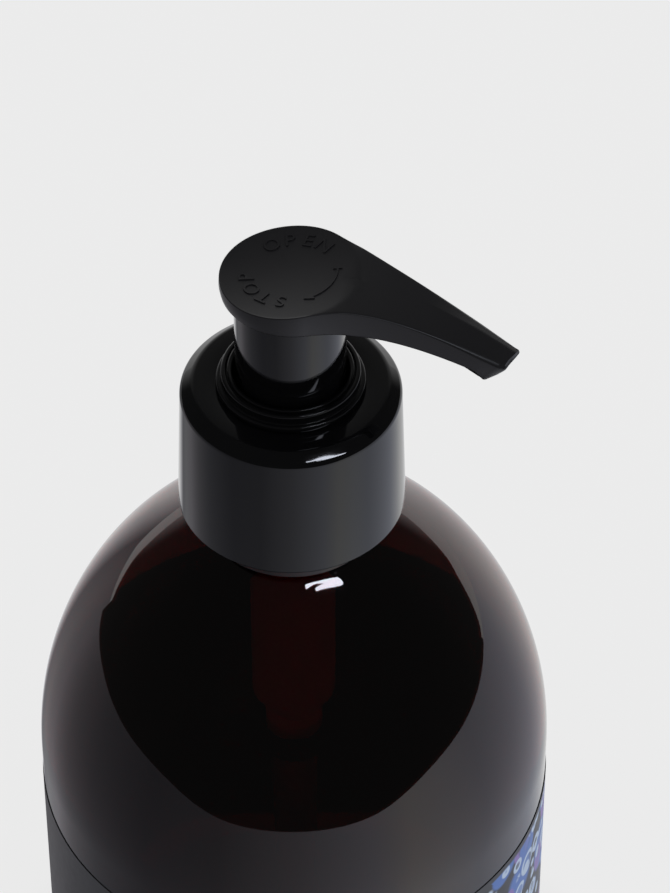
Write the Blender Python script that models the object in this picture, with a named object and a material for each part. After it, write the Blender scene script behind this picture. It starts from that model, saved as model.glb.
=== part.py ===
"""Pump bottle for liquid hand soap: a round bottle with a tall domed shoulder, a smooth screw
closure and a dip-tube lotion pump whose head turns between OPEN and STOP.

Units are metres, +Z is up and the origin is the centre of the base. At rest the pump is
screwed down, the head is up and turned to OPEN, and its nozzle points at NOZZLE_AZIMUTH.
"""
import math

import bmesh
import bpy
from mathutils import Vector

MM = 0.001

# Fits between neighbours
SEAT_GAP = 0.25 * MM          # between two faces that rest on each other
SLIDE_GAP = 0.3 * MM          # between a sliding or turning piece and its guide
ROUND_SIDES = 48              # sides of the large round pieces
SMALL_SIDES = 24              # sides of the pump's inner pieces
SHOULDER_STEPS = 10
BASE_STEPS = 4

# Bottle
BODY_RADIUS = 38.7 * MM
BODY_HEIGHT = 106.0 * MM      # from the base to the widest line, where the shoulder starts
SHOULDER_ARC = 53.5 * MM      # radius of the shoulder's arc in section
BOTTLE_WALL = 0.9 * MM
BASE_CORNER = 6.5 * MM
BASE_RING_OUTER = 32.0 * MM   # the flat ring that the bottle stands on
BASE_RING_INNER = 29.0 * MM
PUSH_UP = 3.2 * MM            # height of the base's hollow
HOLLOW_KNEE = 0.6             # share of the ring's inner radius where the hollow flattens
HOLLOW_KNEE_RISE = 0.8        # share of the hollow's height there
NECK_FOOT = 0.9 * MM          # the shoulder ends this far outside the neck
NECK_BLEND = 1.2 * MM         # height of the blend from the shoulder into the neck
EDGE_BREAK = 0.35 * MM        # small chamfers

# Screw neck and its thread
NECK_RADIUS = 12.55 * MM
NECK_WALL = 1.65 * MM
NECK_CLEAR_OF_CLOSURE = 17.5 * MM   # neck's top above the closure's lower edge
THREAD_PITCH = 4.233 * MM     # six turns to the inch
THREAD_DEPTH = 1.15 * MM
THREAD_TURNS = 1.5
THREAD_BASE = 2.0 * MM        # width of a ridge at its root
THREAD_CREST = 1.0 * MM
THREAD_LEAD_IN = 2.0 * MM     # plain neck above the thread
THREAD_BURY = 0.4 * MM        # a ridge's root inside the wall that it stands on
CLOSURE_RIDGE_SHARE = 0.8     # width of the closure's ridge against the neck's
CLOSURE_RIDGE_GAP = 0.45 * MM # between the closure's ridge and the neck

# Closure
CLOSURE_RADIUS = 16.5 * MM
CLOSURE_DRAFT = 0.65 * MM     # the wall is this much narrower at its top
CLOSURE_HEIGHT = 22.5 * MM
CLOSURE_TOP_WALL = 1.7 * MM
CLOSURE_FILLET = 1.9 * MM
CLOSURE_ABOVE_BODY = 51.2 * MM      # closure's lower edge above the widest line
CLOSURE_THREAD_GAP = 0.35 * MM      # closure's bore outside the neck thread's crest

# Locking ring, with the head's skirt in its bore
RING_LIP_RADIUS = 8.95 * MM
RING_RIM_RADIUS = 10.05 * MM
RING_BASE_RADIUS = 10.7 * MM
RING_BASE_HEIGHT = 0.9 * MM
RING_RIM_HEIGHT = 2.6 * MM    # above the closure's top face
RING_LIP_HEIGHT = 2.9 * MM
RING_BORE = 8.5 * MM
RING_TUBE_WALL = 0.8 * MM
RING_TUBE_DEPTH = 13.0 * MM   # below the closure's top face

# Gasket and housing
GASKET_THICKNESS = 1.2 * MM
GASKET_RADIUS = 12.3 * MM
FLANGE_THICKNESS = 1.4 * MM
CUP_RADIUS = 10.5 * MM
CUP_WALL = 0.85 * MM
CUP_FLOOR = 1.2 * MM
BARREL_BORE = 5.4 * MM
BARREL_WALL = 0.9 * MM
SPRING_ROOM = 32.0 * MM       # barrel length between the piston at rest and the spring's ledge
BALL_RADIUS = 2.4 * MM
BALL_SEAT_HOLE = 1.6 * MM
BALL_LIFT = 1.2 * MM
BALL_LIP = 0.2 * MM           # the lip over the ball reaches this far inside its radius
SEAT_WALL = 1.0 * MM          # plastic above the ball's chamber and below its seat
CUP_CORNER = 1.0 * MM
TAIL_WALL = 0.8 * MM          # of the socket that the dip tube is pushed into
TAIL_LENGTH = 9.0 * MM

# Dip tube
TUBE_RADIUS = 3.2 * MM
TUBE_BORE = 2.4 * MM
TUBE_END_ABOVE_BASE = 6.5 * MM

# Plunger: guide, stem, foot, piston and spring
STROKE = 12.5 * MM
STEM_RADIUS = 2.65 * MM
STEM_BORE = 1.5 * MM
GUIDE_THICKNESS = 1.6 * MM
GUIDE_COLLAR = 3.4 * MM       # length of the guide's collar inside the barrel
PISTON_HEIGHT = 6.0 * MM
PISTON_LIP = 1.3 * MM         # height of each sealing lip
PISTON_WAIST = 0.9 * MM       # depth of the waist between the lips
PISTON_SLIP = 1.0 * MM        # travel of the piston on the stem, which opens its ports
FOOT_FLANGE = 1.1 * MM
FOOT_SPIGOT = 5.0 * MM
SPRING_WIRE = 0.8 * MM
SPRING_RADIUS = 4.15 * MM
SPRING_TURNS = 9

# Pump head. Heights are below or above the head's top plane at its axis
HEAD_ABOVE_CLOSURE = 20.4 * MM      # head's top above the closure's top face
HEAD_RADIUS = 9.85 * MM
HEAD_TAPER_START = 62.0             # degrees off the nozzle, where the disc runs into it
NOZZLE_REACH = 32.0 * MM
NOZZLE_HALF_WIDTH = 2.45 * MM
NOZZLE_DROOP = 7.0 * MM
NOZZLE_RISE = 1.35 * MM             # the saddle's high point, where the nozzle leaves the disc
NOZZLE_TIP_SETBACK = 3.2 * MM       # lower lip of the tip behind its upper lip
NOZZLE_RIDGE = 0.45 * MM
NOZZLE_AZIMUTH = -17.0              # degrees, about +Z from +X
HEAD_DISH = 0.7 * MM
HEAD_EDGE_BACK = 2.3 * MM           # depth of the side wall behind the axis
HEAD_EDGE_ROOT = 4.4 * MM           # under the root of the nozzle
HEAD_EDGE_TIP = 3.0 * MM
SIDE_BULGE = 0.1 * MM
SIDE_DRAFT = 0.5 * MM
UNDERSIDE_INSET = 1.2 * MM
SKIRT_BURY = 0.6 * MM               # the skirt's top inside the disc
CUTTER_OVERRUN = 1.0 * MM
CHANNEL_RADIUS = 0.9 * MM
CHANNEL_ROOF = 1.2 * MM              # wall left above the channel over the stem
SKIRT_RADIUS = 7.9 * MM
SKIRT_WALL = 0.95 * MM
SKIRT_LENGTH = 23.5 * MM            # below the head's underside
SKIRT_ROOF = 2.6 * MM               # wall left above the hollow inside the skirt
SOCKET_WALL = 1.2 * MM
SOCKET_LENGTH = 11.0 * MM

# Label and soap
LABEL_THICKNESS = 0.15 * MM
LABEL_GAP = 0.12 * MM               # glue line
LABEL_TOP_BELOW_SHOULDER = 6.6 * MM
LABEL_BOTTOM = 14.0 * MM
SOAP_LEVEL_ABOVE_BODY = 4.5 * MM    # above the bottle's widest line
SOAP_WALL_GAP = 0.3 * MM
SOAP_TUBE_GAP = 0.6 * MM

# Heights that the pieces share
CLOSURE_BOTTOM = BODY_HEIGHT + CLOSURE_ABOVE_BODY
CLOSURE_TOP = CLOSURE_BOTTOM + CLOSURE_HEIGHT
NECK_TOP = CLOSURE_BOTTOM + NECK_CLEAR_OF_CLOSURE
GASKET_BOTTOM = NECK_TOP + SEAT_GAP
GASKET_TOP = GASKET_BOTTOM + GASKET_THICKNESS
FLANGE_BOTTOM = GASKET_TOP + SEAT_GAP
FLANGE_TOP = FLANGE_BOTTOM + FLANGE_THICKNESS
RING_SEAT = CLOSURE_TOP + SEAT_GAP
HEAD_TOP = CLOSURE_TOP + HEAD_ABOVE_CLOSURE
HEAD_UNDERSIDE = HEAD_TOP - HEAD_EDGE_BACK
SKIRT_BOTTOM = HEAD_UNDERSIDE - SKIRT_LENGTH
GUIDE_TOP = SKIRT_BOTTOM - STROKE - 2 * SLIDE_GAP
GUIDE_BOTTOM = GUIDE_TOP - GUIDE_THICKNESS
CUP_FLOOR_TOP = GUIDE_BOTTOM - SEAT_GAP
PISTON_TOP = GUIDE_BOTTOM - GUIDE_COLLAR - PISTON_SLIP - SLIDE_GAP
PISTON_BOTTOM = PISTON_TOP - PISTON_HEIGHT
FOOT_TOP = PISTON_BOTTOM - SLIDE_GAP
FOOT_BOTTOM = FOOT_TOP - FOOT_FLANGE
SPRING_TOP = FOOT_BOTTOM - SEAT_GAP
SPRING_LEDGE = PISTON_BOTTOM - SPRING_ROOM
SPRING_FOOT = SPRING_LEDGE + SEAT_GAP
STEM_BOTTOM = FOOT_TOP + SLIDE_GAP
SOCKET_TOP = HEAD_TOP - HEAD_DISH - CHANNEL_ROOF - CHANNEL_RADIUS
STEM_TOP = SOCKET_TOP - SEAT_GAP
BALL_CHAMBER = BALL_RADIUS + SLIDE_GAP
BALL_SEAT_SLOPE = 1.0               # rise over run of the cone under the ball
BALL_CENTRE = SPRING_LEDGE - BALL_RADIUS - BALL_LIFT - SEAT_WALL
SEAT_TOUCH = BALL_RADIUS * math.hypot(1.0, BALL_SEAT_SLOPE)   # from the cone's apex to the ball
SEAT_APEX = BALL_CENTRE - SEAT_TOUCH - SEAT_GAP
SEAT_TOP = SEAT_APEX + BALL_CHAMBER * BALL_SEAT_SLOPE
SEAT_BOTTOM = SEAT_APEX + BALL_SEAT_HOLE * BALL_SEAT_SLOPE
TAIL_TOP = SEAT_BOTTOM - SEAT_WALL
TAIL_BOTTOM = TAIL_TOP - TAIL_LENGTH
THREAD_CREST_RADIUS = NECK_RADIUS + THREAD_DEPTH
CLOSURE_BORE = THREAD_CREST_RADIUS + CLOSURE_THREAD_GAP
NECK_BORE = NECK_RADIUS - NECK_WALL
SHOULDER_CENTRE = BODY_RADIUS - SHOULDER_ARC
RING_TUBE_RADIUS = RING_BORE + RING_TUBE_WALL
BARREL_RADIUS = BARREL_BORE + BARREL_WALL
TAIL_BORE = TUBE_RADIUS + SLIDE_GAP
TAIL_RADIUS = TAIL_BORE + TAIL_WALL
CHAMBER_RADIUS = BALL_CHAMBER + BARREL_WALL


def clear_scene():
    """Removes whatever the scene holds."""
    for obj in list(bpy.data.objects):
        bpy.data.objects.remove(obj, do_unlink=True)


def make_material(name, colour, roughness, metallic=0.0, transmission=0.0, alpha=1.0):
    """Returns a Principled material with the given finish."""
    material = bpy.data.materials.new(name)
    material.use_nodes = True
    shader = material.node_tree.nodes["Principled BSDF"]
    shader.inputs["Base Color"].default_value = (*colour, 1.0)
    shader.inputs["Roughness"].default_value = roughness
    shader.inputs["Metallic"].default_value = metallic
    shader.inputs["Transmission Weight"].default_value = transmission
    shader.inputs["Alpha"].default_value = alpha
    return material


def finish_object(name, work, material, sharp_degrees=35.0):
    """Turns a bmesh into a named, smooth-shaded object with its faces outward."""
    bmesh.ops.recalc_face_normals(work, faces=work.faces)
    mesh = bpy.data.meshes.new(name)
    work.to_mesh(mesh)
    work.free()
    mesh.shade_smooth()
    mesh.set_sharp_from_angle(angle=math.radians(sharp_degrees))
    if material is not None:
        mesh.materials.append(material)
    obj = bpy.data.objects.new(name, mesh)
    bpy.context.scene.collection.objects.link(obj)
    return obj


def arc(centre_r, centre_z, radius, start_degrees, end_degrees, steps):
    """Returns the points of an arc in the (r, z) plane, both ends included."""
    points = []
    for step in range(steps + 1):
        angle = math.radians(start_degrees + (end_degrees - start_degrees) * step / steps)
        points.append((centre_r + radius * math.cos(angle), centre_z + radius * math.sin(angle)))
    return points


def turned(name, outline, material, sides=ROUND_SIDES):
    """Turns a closed (r, z) outline about +Z. Points at r = 0 become one vertex each."""
    work = bmesh.new()
    rings = []
    for radius, height in outline:
        if radius < 1e-7:
            rings.append([work.verts.new((0.0, 0.0, height))])
            continue
        ring = []
        for side in range(sides):
            angle = math.tau * side / sides
            ring.append(work.verts.new((radius * math.cos(angle), radius * math.sin(angle), height)))
        rings.append(ring)
    for index, ring in enumerate(rings):
        after = rings[(index + 1) % len(rings)]
        if len(ring) == 1 and len(after) == 1:
            continue
        for side in range(sides):
            turn = (side + 1) % sides
            if len(ring) == 1:
                work.faces.new((ring[0], after[side], after[turn]))
            elif len(after) == 1:
                work.faces.new((ring[turn], ring[side], after[0]))
            else:
                work.faces.new((ring[side], ring[turn], after[turn], after[side]))
    return finish_object(name, work, material)


def swept(name, centres, radii, material, sides=8):
    """Sweeps a round section along points in space, with flat ends."""
    work = bmesh.new()
    rings = []
    for index, centre in enumerate(centres):
        before = Vector(centres[max(index - 1, 0)])
        after = Vector(centres[min(index + 1, len(centres) - 1)])
        along = (after - before).normalized()
        across = along.cross(Vector((0.0, 1.0, 0.0))).normalized()
        up = across.cross(along)
        ring = []
        for side in range(sides):
            angle = math.tau * side / sides
            offset = (across * math.cos(angle) + up * math.sin(angle)) * radii[index]
            ring.append(work.verts.new(Vector(centre) + offset))
        rings.append(ring)
    for ring, after in zip(rings, rings[1:]):
        for side in range(sides):
            turn = (side + 1) % sides
            work.faces.new((ring[side], ring[turn], after[turn], after[side]))
    work.faces.new(rings[0])
    work.faces.new(rings[-1])
    return finish_object(name, work, material)


def as_cutter(obj):
    """Marks an object as a construction aid that isn't part of the model."""
    obj.hide_render = True
    obj.display_type = "WIRE"


def combine(target, tool, operation):
    """Adds a Boolean modifier to target that uses tool."""
    as_cutter(tool)
    modifier = target.modifiers.new(f"{operation.lower()}_{tool.name}", "BOOLEAN")
    modifier.operation = operation
    modifier.object = tool
    modifier.solver = "EXACT"


def thread_ridge(name, wall_radius, crest_radius, start_z, base_width, crest_width):
    """Returns a right-hand helical ridge that stands on a wall and fades into it at both ends."""
    steps_per_turn = 32
    steps = round(THREAD_TURNS * steps_per_turn)
    fade_steps = 4
    bury = math.copysign(THREAD_BURY, wall_radius - crest_radius)
    work = bmesh.new()
    sections = []
    for step in range(steps + 1):
        angle = math.tau * step / steps_per_turn
        height = start_z + THREAD_PITCH * step / steps_per_turn
        fade = min(1.0, step / fade_steps, (steps - step) / fade_steps)
        crest = wall_radius + 0.5 * bury + (crest_radius - wall_radius - 0.5 * bury) * fade
        section = []
        for radius, shift in (
            (wall_radius + bury, -base_width / 2),
            (crest, -crest_width / 2),
            (crest, crest_width / 2),
            (wall_radius + bury, base_width / 2),
        ):
            place = (radius * math.cos(angle), radius * math.sin(angle), height + shift)
            section.append(work.verts.new(place))
        sections.append(section)
    for section, after in zip(sections, sections[1:]):
        for corner in range(4):
            turn = (corner + 1) % 4
            work.faces.new((section[corner], section[turn], after[turn], after[corner]))
    work.faces.new(sections[0])
    work.faces.new(sections[-1])
    return finish_object(name, work, None)


def shoulder_angle(radius, inset=0.0):
    """Returns the angle in degrees along the shoulder's arc at which it reaches a radius."""
    return math.degrees(math.acos((radius - SHOULDER_CENTRE) / (SHOULDER_ARC - inset)))


def make_bottle(material):
    """Blown bottle with a domed shoulder, a hollow base and a threaded neck."""
    inset = BOTTLE_WALL
    outer_end = shoulder_angle(NECK_RADIUS + NECK_FOOT)
    inner_end = shoulder_angle(NECK_BORE + NECK_FOOT, inset)
    knee = (BASE_RING_INNER * HOLLOW_KNEE, PUSH_UP * HOLLOW_KNEE_RISE)
    outer = [(0.0, PUSH_UP), knee, (BASE_RING_INNER, 0.0), (BASE_RING_OUTER, 0.0)]
    outer += arc(BODY_RADIUS - BASE_CORNER, BASE_CORNER, BASE_CORNER, -90.0, 0.0, BASE_STEPS)
    outer += arc(SHOULDER_CENTRE, BODY_HEIGHT, SHOULDER_ARC, 0.0, outer_end, SHOULDER_STEPS)
    shoulder_end = outer[-1][1]
    outer += [(NECK_RADIUS, shoulder_end + NECK_BLEND), (NECK_RADIUS, NECK_TOP)]
    inner = [(NECK_BORE, NECK_TOP), (NECK_BORE, shoulder_end + NECK_BLEND)]
    inner += arc(SHOULDER_CENTRE, BODY_HEIGHT, SHOULDER_ARC - inset, inner_end, 0.0, SHOULDER_STEPS)
    inner += arc(BODY_RADIUS - BASE_CORNER, BASE_CORNER, BASE_CORNER - inset, 0.0, -90.0, BASE_STEPS)
    inner += [(knee[0], knee[1] + inset), (0.0, PUSH_UP + inset)]
    bottle = turned("bottle", outer + inner, material)
    thread_start = NECK_TOP - THREAD_LEAD_IN - THREAD_TURNS * THREAD_PITCH
    ridge = thread_ridge(
        "neck_thread_ridge", NECK_RADIUS, THREAD_CREST_RADIUS, thread_start, THREAD_BASE, THREAD_CREST
    )
    combine(bottle, ridge, "UNION")
    return bottle


def make_soap(material):
    """The filling: everything inside the bottle up to its level, with a bore for the pump."""
    level = BODY_HEIGHT + SOAP_LEVEL_ABOVE_BODY
    inset = BOTTLE_WALL + SOAP_WALL_GAP
    floor_z = PUSH_UP + inset
    level_degrees = math.degrees(math.asin(SOAP_LEVEL_ABOVE_BODY / (SHOULDER_ARC - inset)))
    bore = BARREL_RADIUS + SOAP_TUBE_GAP
    tube_bore = TUBE_RADIUS + SOAP_TUBE_GAP
    tail_bore = TAIL_RADIUS + SOAP_TUBE_GAP
    outline = [(0.0, floor_z), (BASE_RING_INNER * HOLLOW_KNEE, PUSH_UP * HOLLOW_KNEE_RISE + inset)]
    outline += arc(BODY_RADIUS - BASE_CORNER, BASE_CORNER, BASE_CORNER - inset, -90.0, 0.0, BASE_STEPS)
    outline += arc(SHOULDER_CENTRE, BODY_HEIGHT, SHOULDER_ARC - inset, 0.0, level_degrees, 2)
    barrel_end = TAIL_TOP - SOAP_TUBE_GAP
    tail_end = TAIL_BOTTOM - SOAP_TUBE_GAP
    tube_end = TUBE_END_ABOVE_BASE - SOAP_TUBE_GAP
    if level > barrel_end:
        outline += [(bore, level), (bore, barrel_end)]
    else:
        outline += [(tail_bore, level)]
    outline += [(tail_bore, barrel_end), (tail_bore, tail_end), (tube_bore, tail_end), (tube_bore, tube_end)]
    outline += [(0.0, tube_end)]
    return turned("liquid_soap", outline, material)


def make_label(material):
    """Wrap label, one sheet around the straight wall with a seam gap of one side at the back."""
    inner = BODY_RADIUS + LABEL_GAP
    outer = inner + LABEL_THICKNESS
    top = BODY_HEIGHT - LABEL_TOP_BELOW_SHOULDER
    work = bmesh.new()
    first = ROUND_SIDES // 4 + 1
    columns = []
    for side in range(first, first + ROUND_SIDES):
        angle = math.tau * side / ROUND_SIDES
        column = []
        for radius, height in ((inner, LABEL_BOTTOM), (outer, LABEL_BOTTOM), (outer, top), (inner, top)):
            column.append(work.verts.new((radius * math.cos(angle), radius * math.sin(angle), height)))
        columns.append(column)
    for column, after in zip(columns, columns[1:]):
        for corner in range(4):
            turn = (corner + 1) % 4
            work.faces.new((column[corner], column[turn], after[turn], after[corner]))
    work.faces.new(columns[0])
    work.faces.new(columns[-1])
    return finish_object("label", work, material)


def make_closure(material):
    """Smooth screw cap with a hole in its top for the locking ring, threaded inside."""
    top_radius = CLOSURE_RADIUS - CLOSURE_DRAFT
    hole = RING_TUBE_RADIUS + 2 * SLIDE_GAP
    ceiling = CLOSURE_TOP - CLOSURE_TOP_WALL
    outline = [(CLOSURE_BORE, CLOSURE_BOTTOM), (CLOSURE_RADIUS - EDGE_BREAK, CLOSURE_BOTTOM)]
    outline += [(CLOSURE_RADIUS, CLOSURE_BOTTOM + EDGE_BREAK)]
    outline += arc(top_radius - CLOSURE_FILLET, CLOSURE_TOP - CLOSURE_FILLET, CLOSURE_FILLET, 0.0, 90.0, 5)
    outline += [(hole, CLOSURE_TOP), (hole, ceiling), (CLOSURE_BORE, ceiling)]
    closure = turned("closure", outline, material)
    thread_start = NECK_TOP - THREAD_LEAD_IN - THREAD_TURNS * THREAD_PITCH - THREAD_PITCH / 2
    ridge = thread_ridge(
        "closure_thread_ridge", CLOSURE_BORE, NECK_RADIUS + CLOSURE_RIDGE_GAP, thread_start,
        CLOSURE_RIDGE_SHARE * THREAD_BASE, CLOSURE_RIDGE_SHARE * THREAD_CREST,
    )
    combine(closure, ridge, "UNION")
    return closure


def make_gasket(material):
    """Flat sealing ring between the neck and the housing's flange."""
    inner = CUP_RADIUS + SLIDE_GAP
    outline = [
        (inner, GASKET_BOTTOM), (GASKET_RADIUS, GASKET_BOTTOM),
        (GASKET_RADIUS, GASKET_TOP), (inner, GASKET_TOP),
    ]
    return turned("neck_gasket", outline, material)


def make_ring(material):
    """Locking ring: a stepped rim on the closure and a tube that snaps into the housing's cup."""
    rim_top = CLOSURE_TOP + RING_RIM_HEIGHT
    lip_top = CLOSURE_TOP + RING_LIP_HEIGHT
    base_top = RING_SEAT + RING_BASE_HEIGHT
    tube_bottom = CLOSURE_TOP - RING_TUBE_DEPTH
    edge = EDGE_BREAK
    outline = [
        (RING_BORE, tube_bottom), (RING_TUBE_RADIUS - edge, tube_bottom),
        (RING_TUBE_RADIUS, tube_bottom + edge),
        (RING_TUBE_RADIUS, RING_SEAT), (RING_BASE_RADIUS, RING_SEAT), (RING_BASE_RADIUS, base_top - edge),
        (RING_BASE_RADIUS - edge, base_top), (RING_RIM_RADIUS, base_top), (RING_RIM_RADIUS, rim_top - edge),
        (RING_RIM_RADIUS - edge, rim_top), (RING_LIP_RADIUS + edge, rim_top), (RING_LIP_RADIUS, lip_top),
        (RING_BORE, lip_top - edge),
    ]
    return turned("locking_ring", outline, material)


def make_housing(material):
    """Pump housing: flange, cup for the locking ring, barrel, ball chamber and tail."""
    cup_bore = CUP_RADIUS - CUP_WALL
    flange_radius = CLOSURE_BORE - SLIDE_GAP
    cup_bottom = CUP_FLOOR_TOP - CUP_FLOOR
    lip_radius = BALL_RADIUS - BALL_LIP
    lip_bottom = BALL_CENTRE + BALL_RADIUS + BALL_LIFT + SLIDE_GAP
    outline = [
        (cup_bore, FLANGE_TOP), (cup_bore, CUP_FLOOR_TOP), (BARREL_BORE, CUP_FLOOR_TOP),
        (BARREL_BORE, SPRING_LEDGE), (lip_radius, SPRING_LEDGE), (lip_radius, lip_bottom),
        (BALL_CHAMBER, lip_bottom), (BALL_CHAMBER, SEAT_TOP), (BALL_SEAT_HOLE, SEAT_BOTTOM),
        (BALL_SEAT_HOLE, TAIL_TOP), (TAIL_BORE, TAIL_TOP), (TAIL_BORE, TAIL_BOTTOM),
        (TAIL_RADIUS, TAIL_BOTTOM), (TAIL_RADIUS, TAIL_TOP + TAIL_WALL), (CHAMBER_RADIUS, SEAT_TOP),
        (CHAMBER_RADIUS, lip_bottom), (BARREL_RADIUS, SPRING_LEDGE - BARREL_WALL),
        (BARREL_RADIUS, cup_bottom), (CUP_RADIUS - CUP_CORNER, cup_bottom), (CUP_RADIUS, CUP_FLOOR_TOP),
        (CUP_RADIUS, FLANGE_BOTTOM), (flange_radius, FLANGE_BOTTOM), (flange_radius, FLANGE_TOP),
    ]
    return turned("pump_housing", outline, material, SMALL_SIDES * 3 // 2)


def make_guide(material):
    """Stem guide that closes the barrel and keeps the piston in."""
    outer = CUP_RADIUS - CUP_WALL - SLIDE_GAP
    bore = STEM_RADIUS + SLIDE_GAP
    collar = BARREL_BORE - SLIDE_GAP
    outline = [
        (bore, GUIDE_BOTTOM - GUIDE_COLLAR), (collar, GUIDE_BOTTOM - GUIDE_COLLAR), (collar, GUIDE_BOTTOM),
        (outer, GUIDE_BOTTOM), (outer, GUIDE_TOP), (bore, GUIDE_TOP),
    ]
    return turned("stem_guide", outline, material, SMALL_SIDES * 3 // 2)


def make_stem(material):
    """Hollow stem between the head and the piston."""
    outline = [
        (STEM_BORE, STEM_BOTTOM), (STEM_RADIUS, STEM_BOTTOM), (STEM_RADIUS, STEM_TOP), (STEM_BORE, STEM_TOP),
    ]
    return turned("stem", outline, material, SMALL_SIDES)


def make_foot(material):
    """Foot of the stem: a flange that the spring pushes on and a spigot inside the stem."""
    spigot = STEM_BORE - SLIDE_GAP
    flange = BARREL_BORE - 2 * SLIDE_GAP
    outline = [
        (0.0, FOOT_BOTTOM), (flange, FOOT_BOTTOM), (flange, FOOT_TOP), (spigot, FOOT_TOP),
        (spigot, FOOT_TOP + FOOT_SPIGOT), (0.0, FOOT_TOP + FOOT_SPIGOT),
    ]
    return turned("stem_foot", outline, material, SMALL_SIDES)


def make_piston(material):
    """Soft piston with a lip at each end and a waist between them."""
    bore = STEM_RADIUS + SLIDE_GAP
    lip = BARREL_BORE - SLIDE_GAP
    waist = lip - PISTON_WAIST
    slope = 0.4 * PISTON_LIP
    outline = [
        (bore, PISTON_BOTTOM), (lip, PISTON_BOTTOM), (lip, PISTON_BOTTOM + PISTON_LIP),
        (waist, PISTON_BOTTOM + PISTON_LIP + slope), (waist, PISTON_TOP - PISTON_LIP - slope),
        (lip, PISTON_TOP - PISTON_LIP), (lip, PISTON_TOP), (bore, PISTON_TOP),
    ]
    return turned("piston", outline, material, SMALL_SIDES)


def make_spring(material):
    """Return spring: a helix of round wire whose last half turn at each end lies flatter."""
    bottom = SPRING_FOOT + SPRING_WIRE / 2
    top = SPRING_TOP - SPRING_WIRE / 2
    steps_per_turn = 12
    steps = SPRING_TURNS * steps_per_turn
    curve = bpy.data.curves.new("return_spring", "CURVE")
    curve.dimensions = "3D"
    curve.bevel_depth = SPRING_WIRE / 2
    curve.bevel_resolution = 1
    curve.use_fill_caps = True
    spline = curve.splines.new("POLY")
    spline.points.add(steps)
    flat = 0.75
    for step in range(steps + 1):
        turn = step / steps_per_turn
        angle = math.tau * turn
        rising = min(max(turn - flat, 0.0), SPRING_TURNS - 2 * flat) / (SPRING_TURNS - 2 * flat)
        height = bottom + (top - bottom) * rising
        place = (SPRING_RADIUS * math.cos(angle), SPRING_RADIUS * math.sin(angle), height, 1.0)
        spline.points[step].co = place
    curve.materials.append(material)
    spring = bpy.data.objects.new("return_spring", curve)
    bpy.context.scene.collection.objects.link(spring)
    return spring


def make_ball(material):
    """Inlet check ball, resting over the hole of its conical seat."""
    rings = 9
    outline = [(0.0, BALL_CENTRE - BALL_RADIUS)]
    outline += arc(0.0, BALL_CENTRE, BALL_RADIUS, -90.0 + 180.0 / rings, 90.0 - 180.0 / rings, rings - 2)
    outline += [(0.0, BALL_CENTRE + BALL_RADIUS)]
    return turned("inlet_ball", outline, material, 16)


def make_tube(material):
    """Dip tube from the housing's tail to just above the base, cut square."""
    top = TAIL_TOP - SEAT_GAP
    outline = [
        (TUBE_BORE, TUBE_END_ABOVE_BASE), (TUBE_RADIUS, TUBE_END_ABOVE_BASE),
        (TUBE_RADIUS, top), (TUBE_BORE, top),
    ]
    return turned("dip_tube", outline, material, SMALL_SIDES)


def smooth_step(value):
    """Eases a value from 0 to 1."""
    value = min(max(value, 0.0), 1.0)
    return value * value * (3.0 - 2.0 * value)


def head_outline(taper_steps=12, back_steps=16, tip_steps=2):
    """Returns the head's plan outline as (along, across) points, anticlockwise from the tip's middle."""
    start = math.radians(HEAD_TAPER_START)
    first = Vector((HEAD_RADIUS * math.cos(start), HEAD_RADIUS * math.sin(start)))
    last = Vector((NOZZLE_REACH, NOZZLE_HALF_WIDTH))
    lead = first + Vector((math.sin(start), -math.cos(start))) * (last.x - first.x) * 0.26
    trail = last + Vector((-1.0, 0.095)) * (last.x - first.x) * 0.51
    side = []
    for step in range(taper_steps + 1):
        t = step / taper_steps
        point = first * (1 - t) ** 3 + lead * (3 * t * (1 - t) ** 2)
        point += trail * (3 * t * t * (1 - t)) + last * t ** 3
        side.append((point.x, point.y))
    tip = [(NOZZLE_REACH, NOZZLE_HALF_WIDTH * step / tip_steps) for step in range(tip_steps)]
    back = arc(0.0, 0.0, HEAD_RADIUS, HEAD_TAPER_START, 180.0, back_steps)[1:]
    half = tip + side[::-1] + back
    mirrored = [(along, -across) for along, across in half[-2:0:-1]]
    return half + mirrored


def head_half_width(along):
    """Returns the half-width of the head's plan at a distance along the nozzle."""
    best = NOZZLE_HALF_WIDTH
    points = [point for point in head_outline() if point[1] >= 0.0]
    points.sort()
    for low, high in zip(points, points[1:]):
        if low[0] <= along <= high[0] and high[0] > low[0]:
            share = (along - low[0]) / (high[0] - low[0])
            best = max(best, low[1] + (high[1] - low[1]) * share)
    return best


def head_edge_height(along):
    """Height of the head's top edge: a gentle rise into the saddle, then the nozzle's droop."""
    peak = 0.85 * HEAD_RADIUS
    if along < peak:
        share = (along + HEAD_RADIUS) / (peak + HEAD_RADIUS)
        return NOZZLE_RISE * smooth_step(share)
    share = (along - peak) / (NOZZLE_REACH - peak)
    return NOZZLE_RISE - (NOZZLE_DROOP + NOZZLE_RISE) * share ** 1.45


def head_top_height(along, across):
    """Height of the head's top face: dished over the disc and ridged along the nozzle."""
    reach = min(math.hypot(along, across) / HEAD_RADIUS, 1.0)
    dish = HEAD_DISH * (1.0 - reach * reach)
    ridge_share = smooth_step((along - 1.4 * HEAD_RADIUS) / HEAD_RADIUS)
    ridge = NOZZLE_RIDGE * ridge_share * (1.0 - abs(across) / max(head_half_width(along), abs(across)))
    return head_edge_height(along) - dish + ridge


def head_side_depth(along):
    """Depth of the side wall, from the thin back rim to the deep root of the nozzle."""
    root = 1.1 * HEAD_RADIUS
    if along < root:
        share = smooth_step((along + HEAD_RADIUS) / (root + HEAD_RADIUS))
        return HEAD_EDGE_BACK + (HEAD_EDGE_ROOT - HEAD_EDGE_BACK) * share
    share = (along - root) / (NOZZLE_REACH - root)
    return HEAD_EDGE_ROOT + (HEAD_EDGE_TIP - HEAD_EDGE_ROOT) * share


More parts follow.
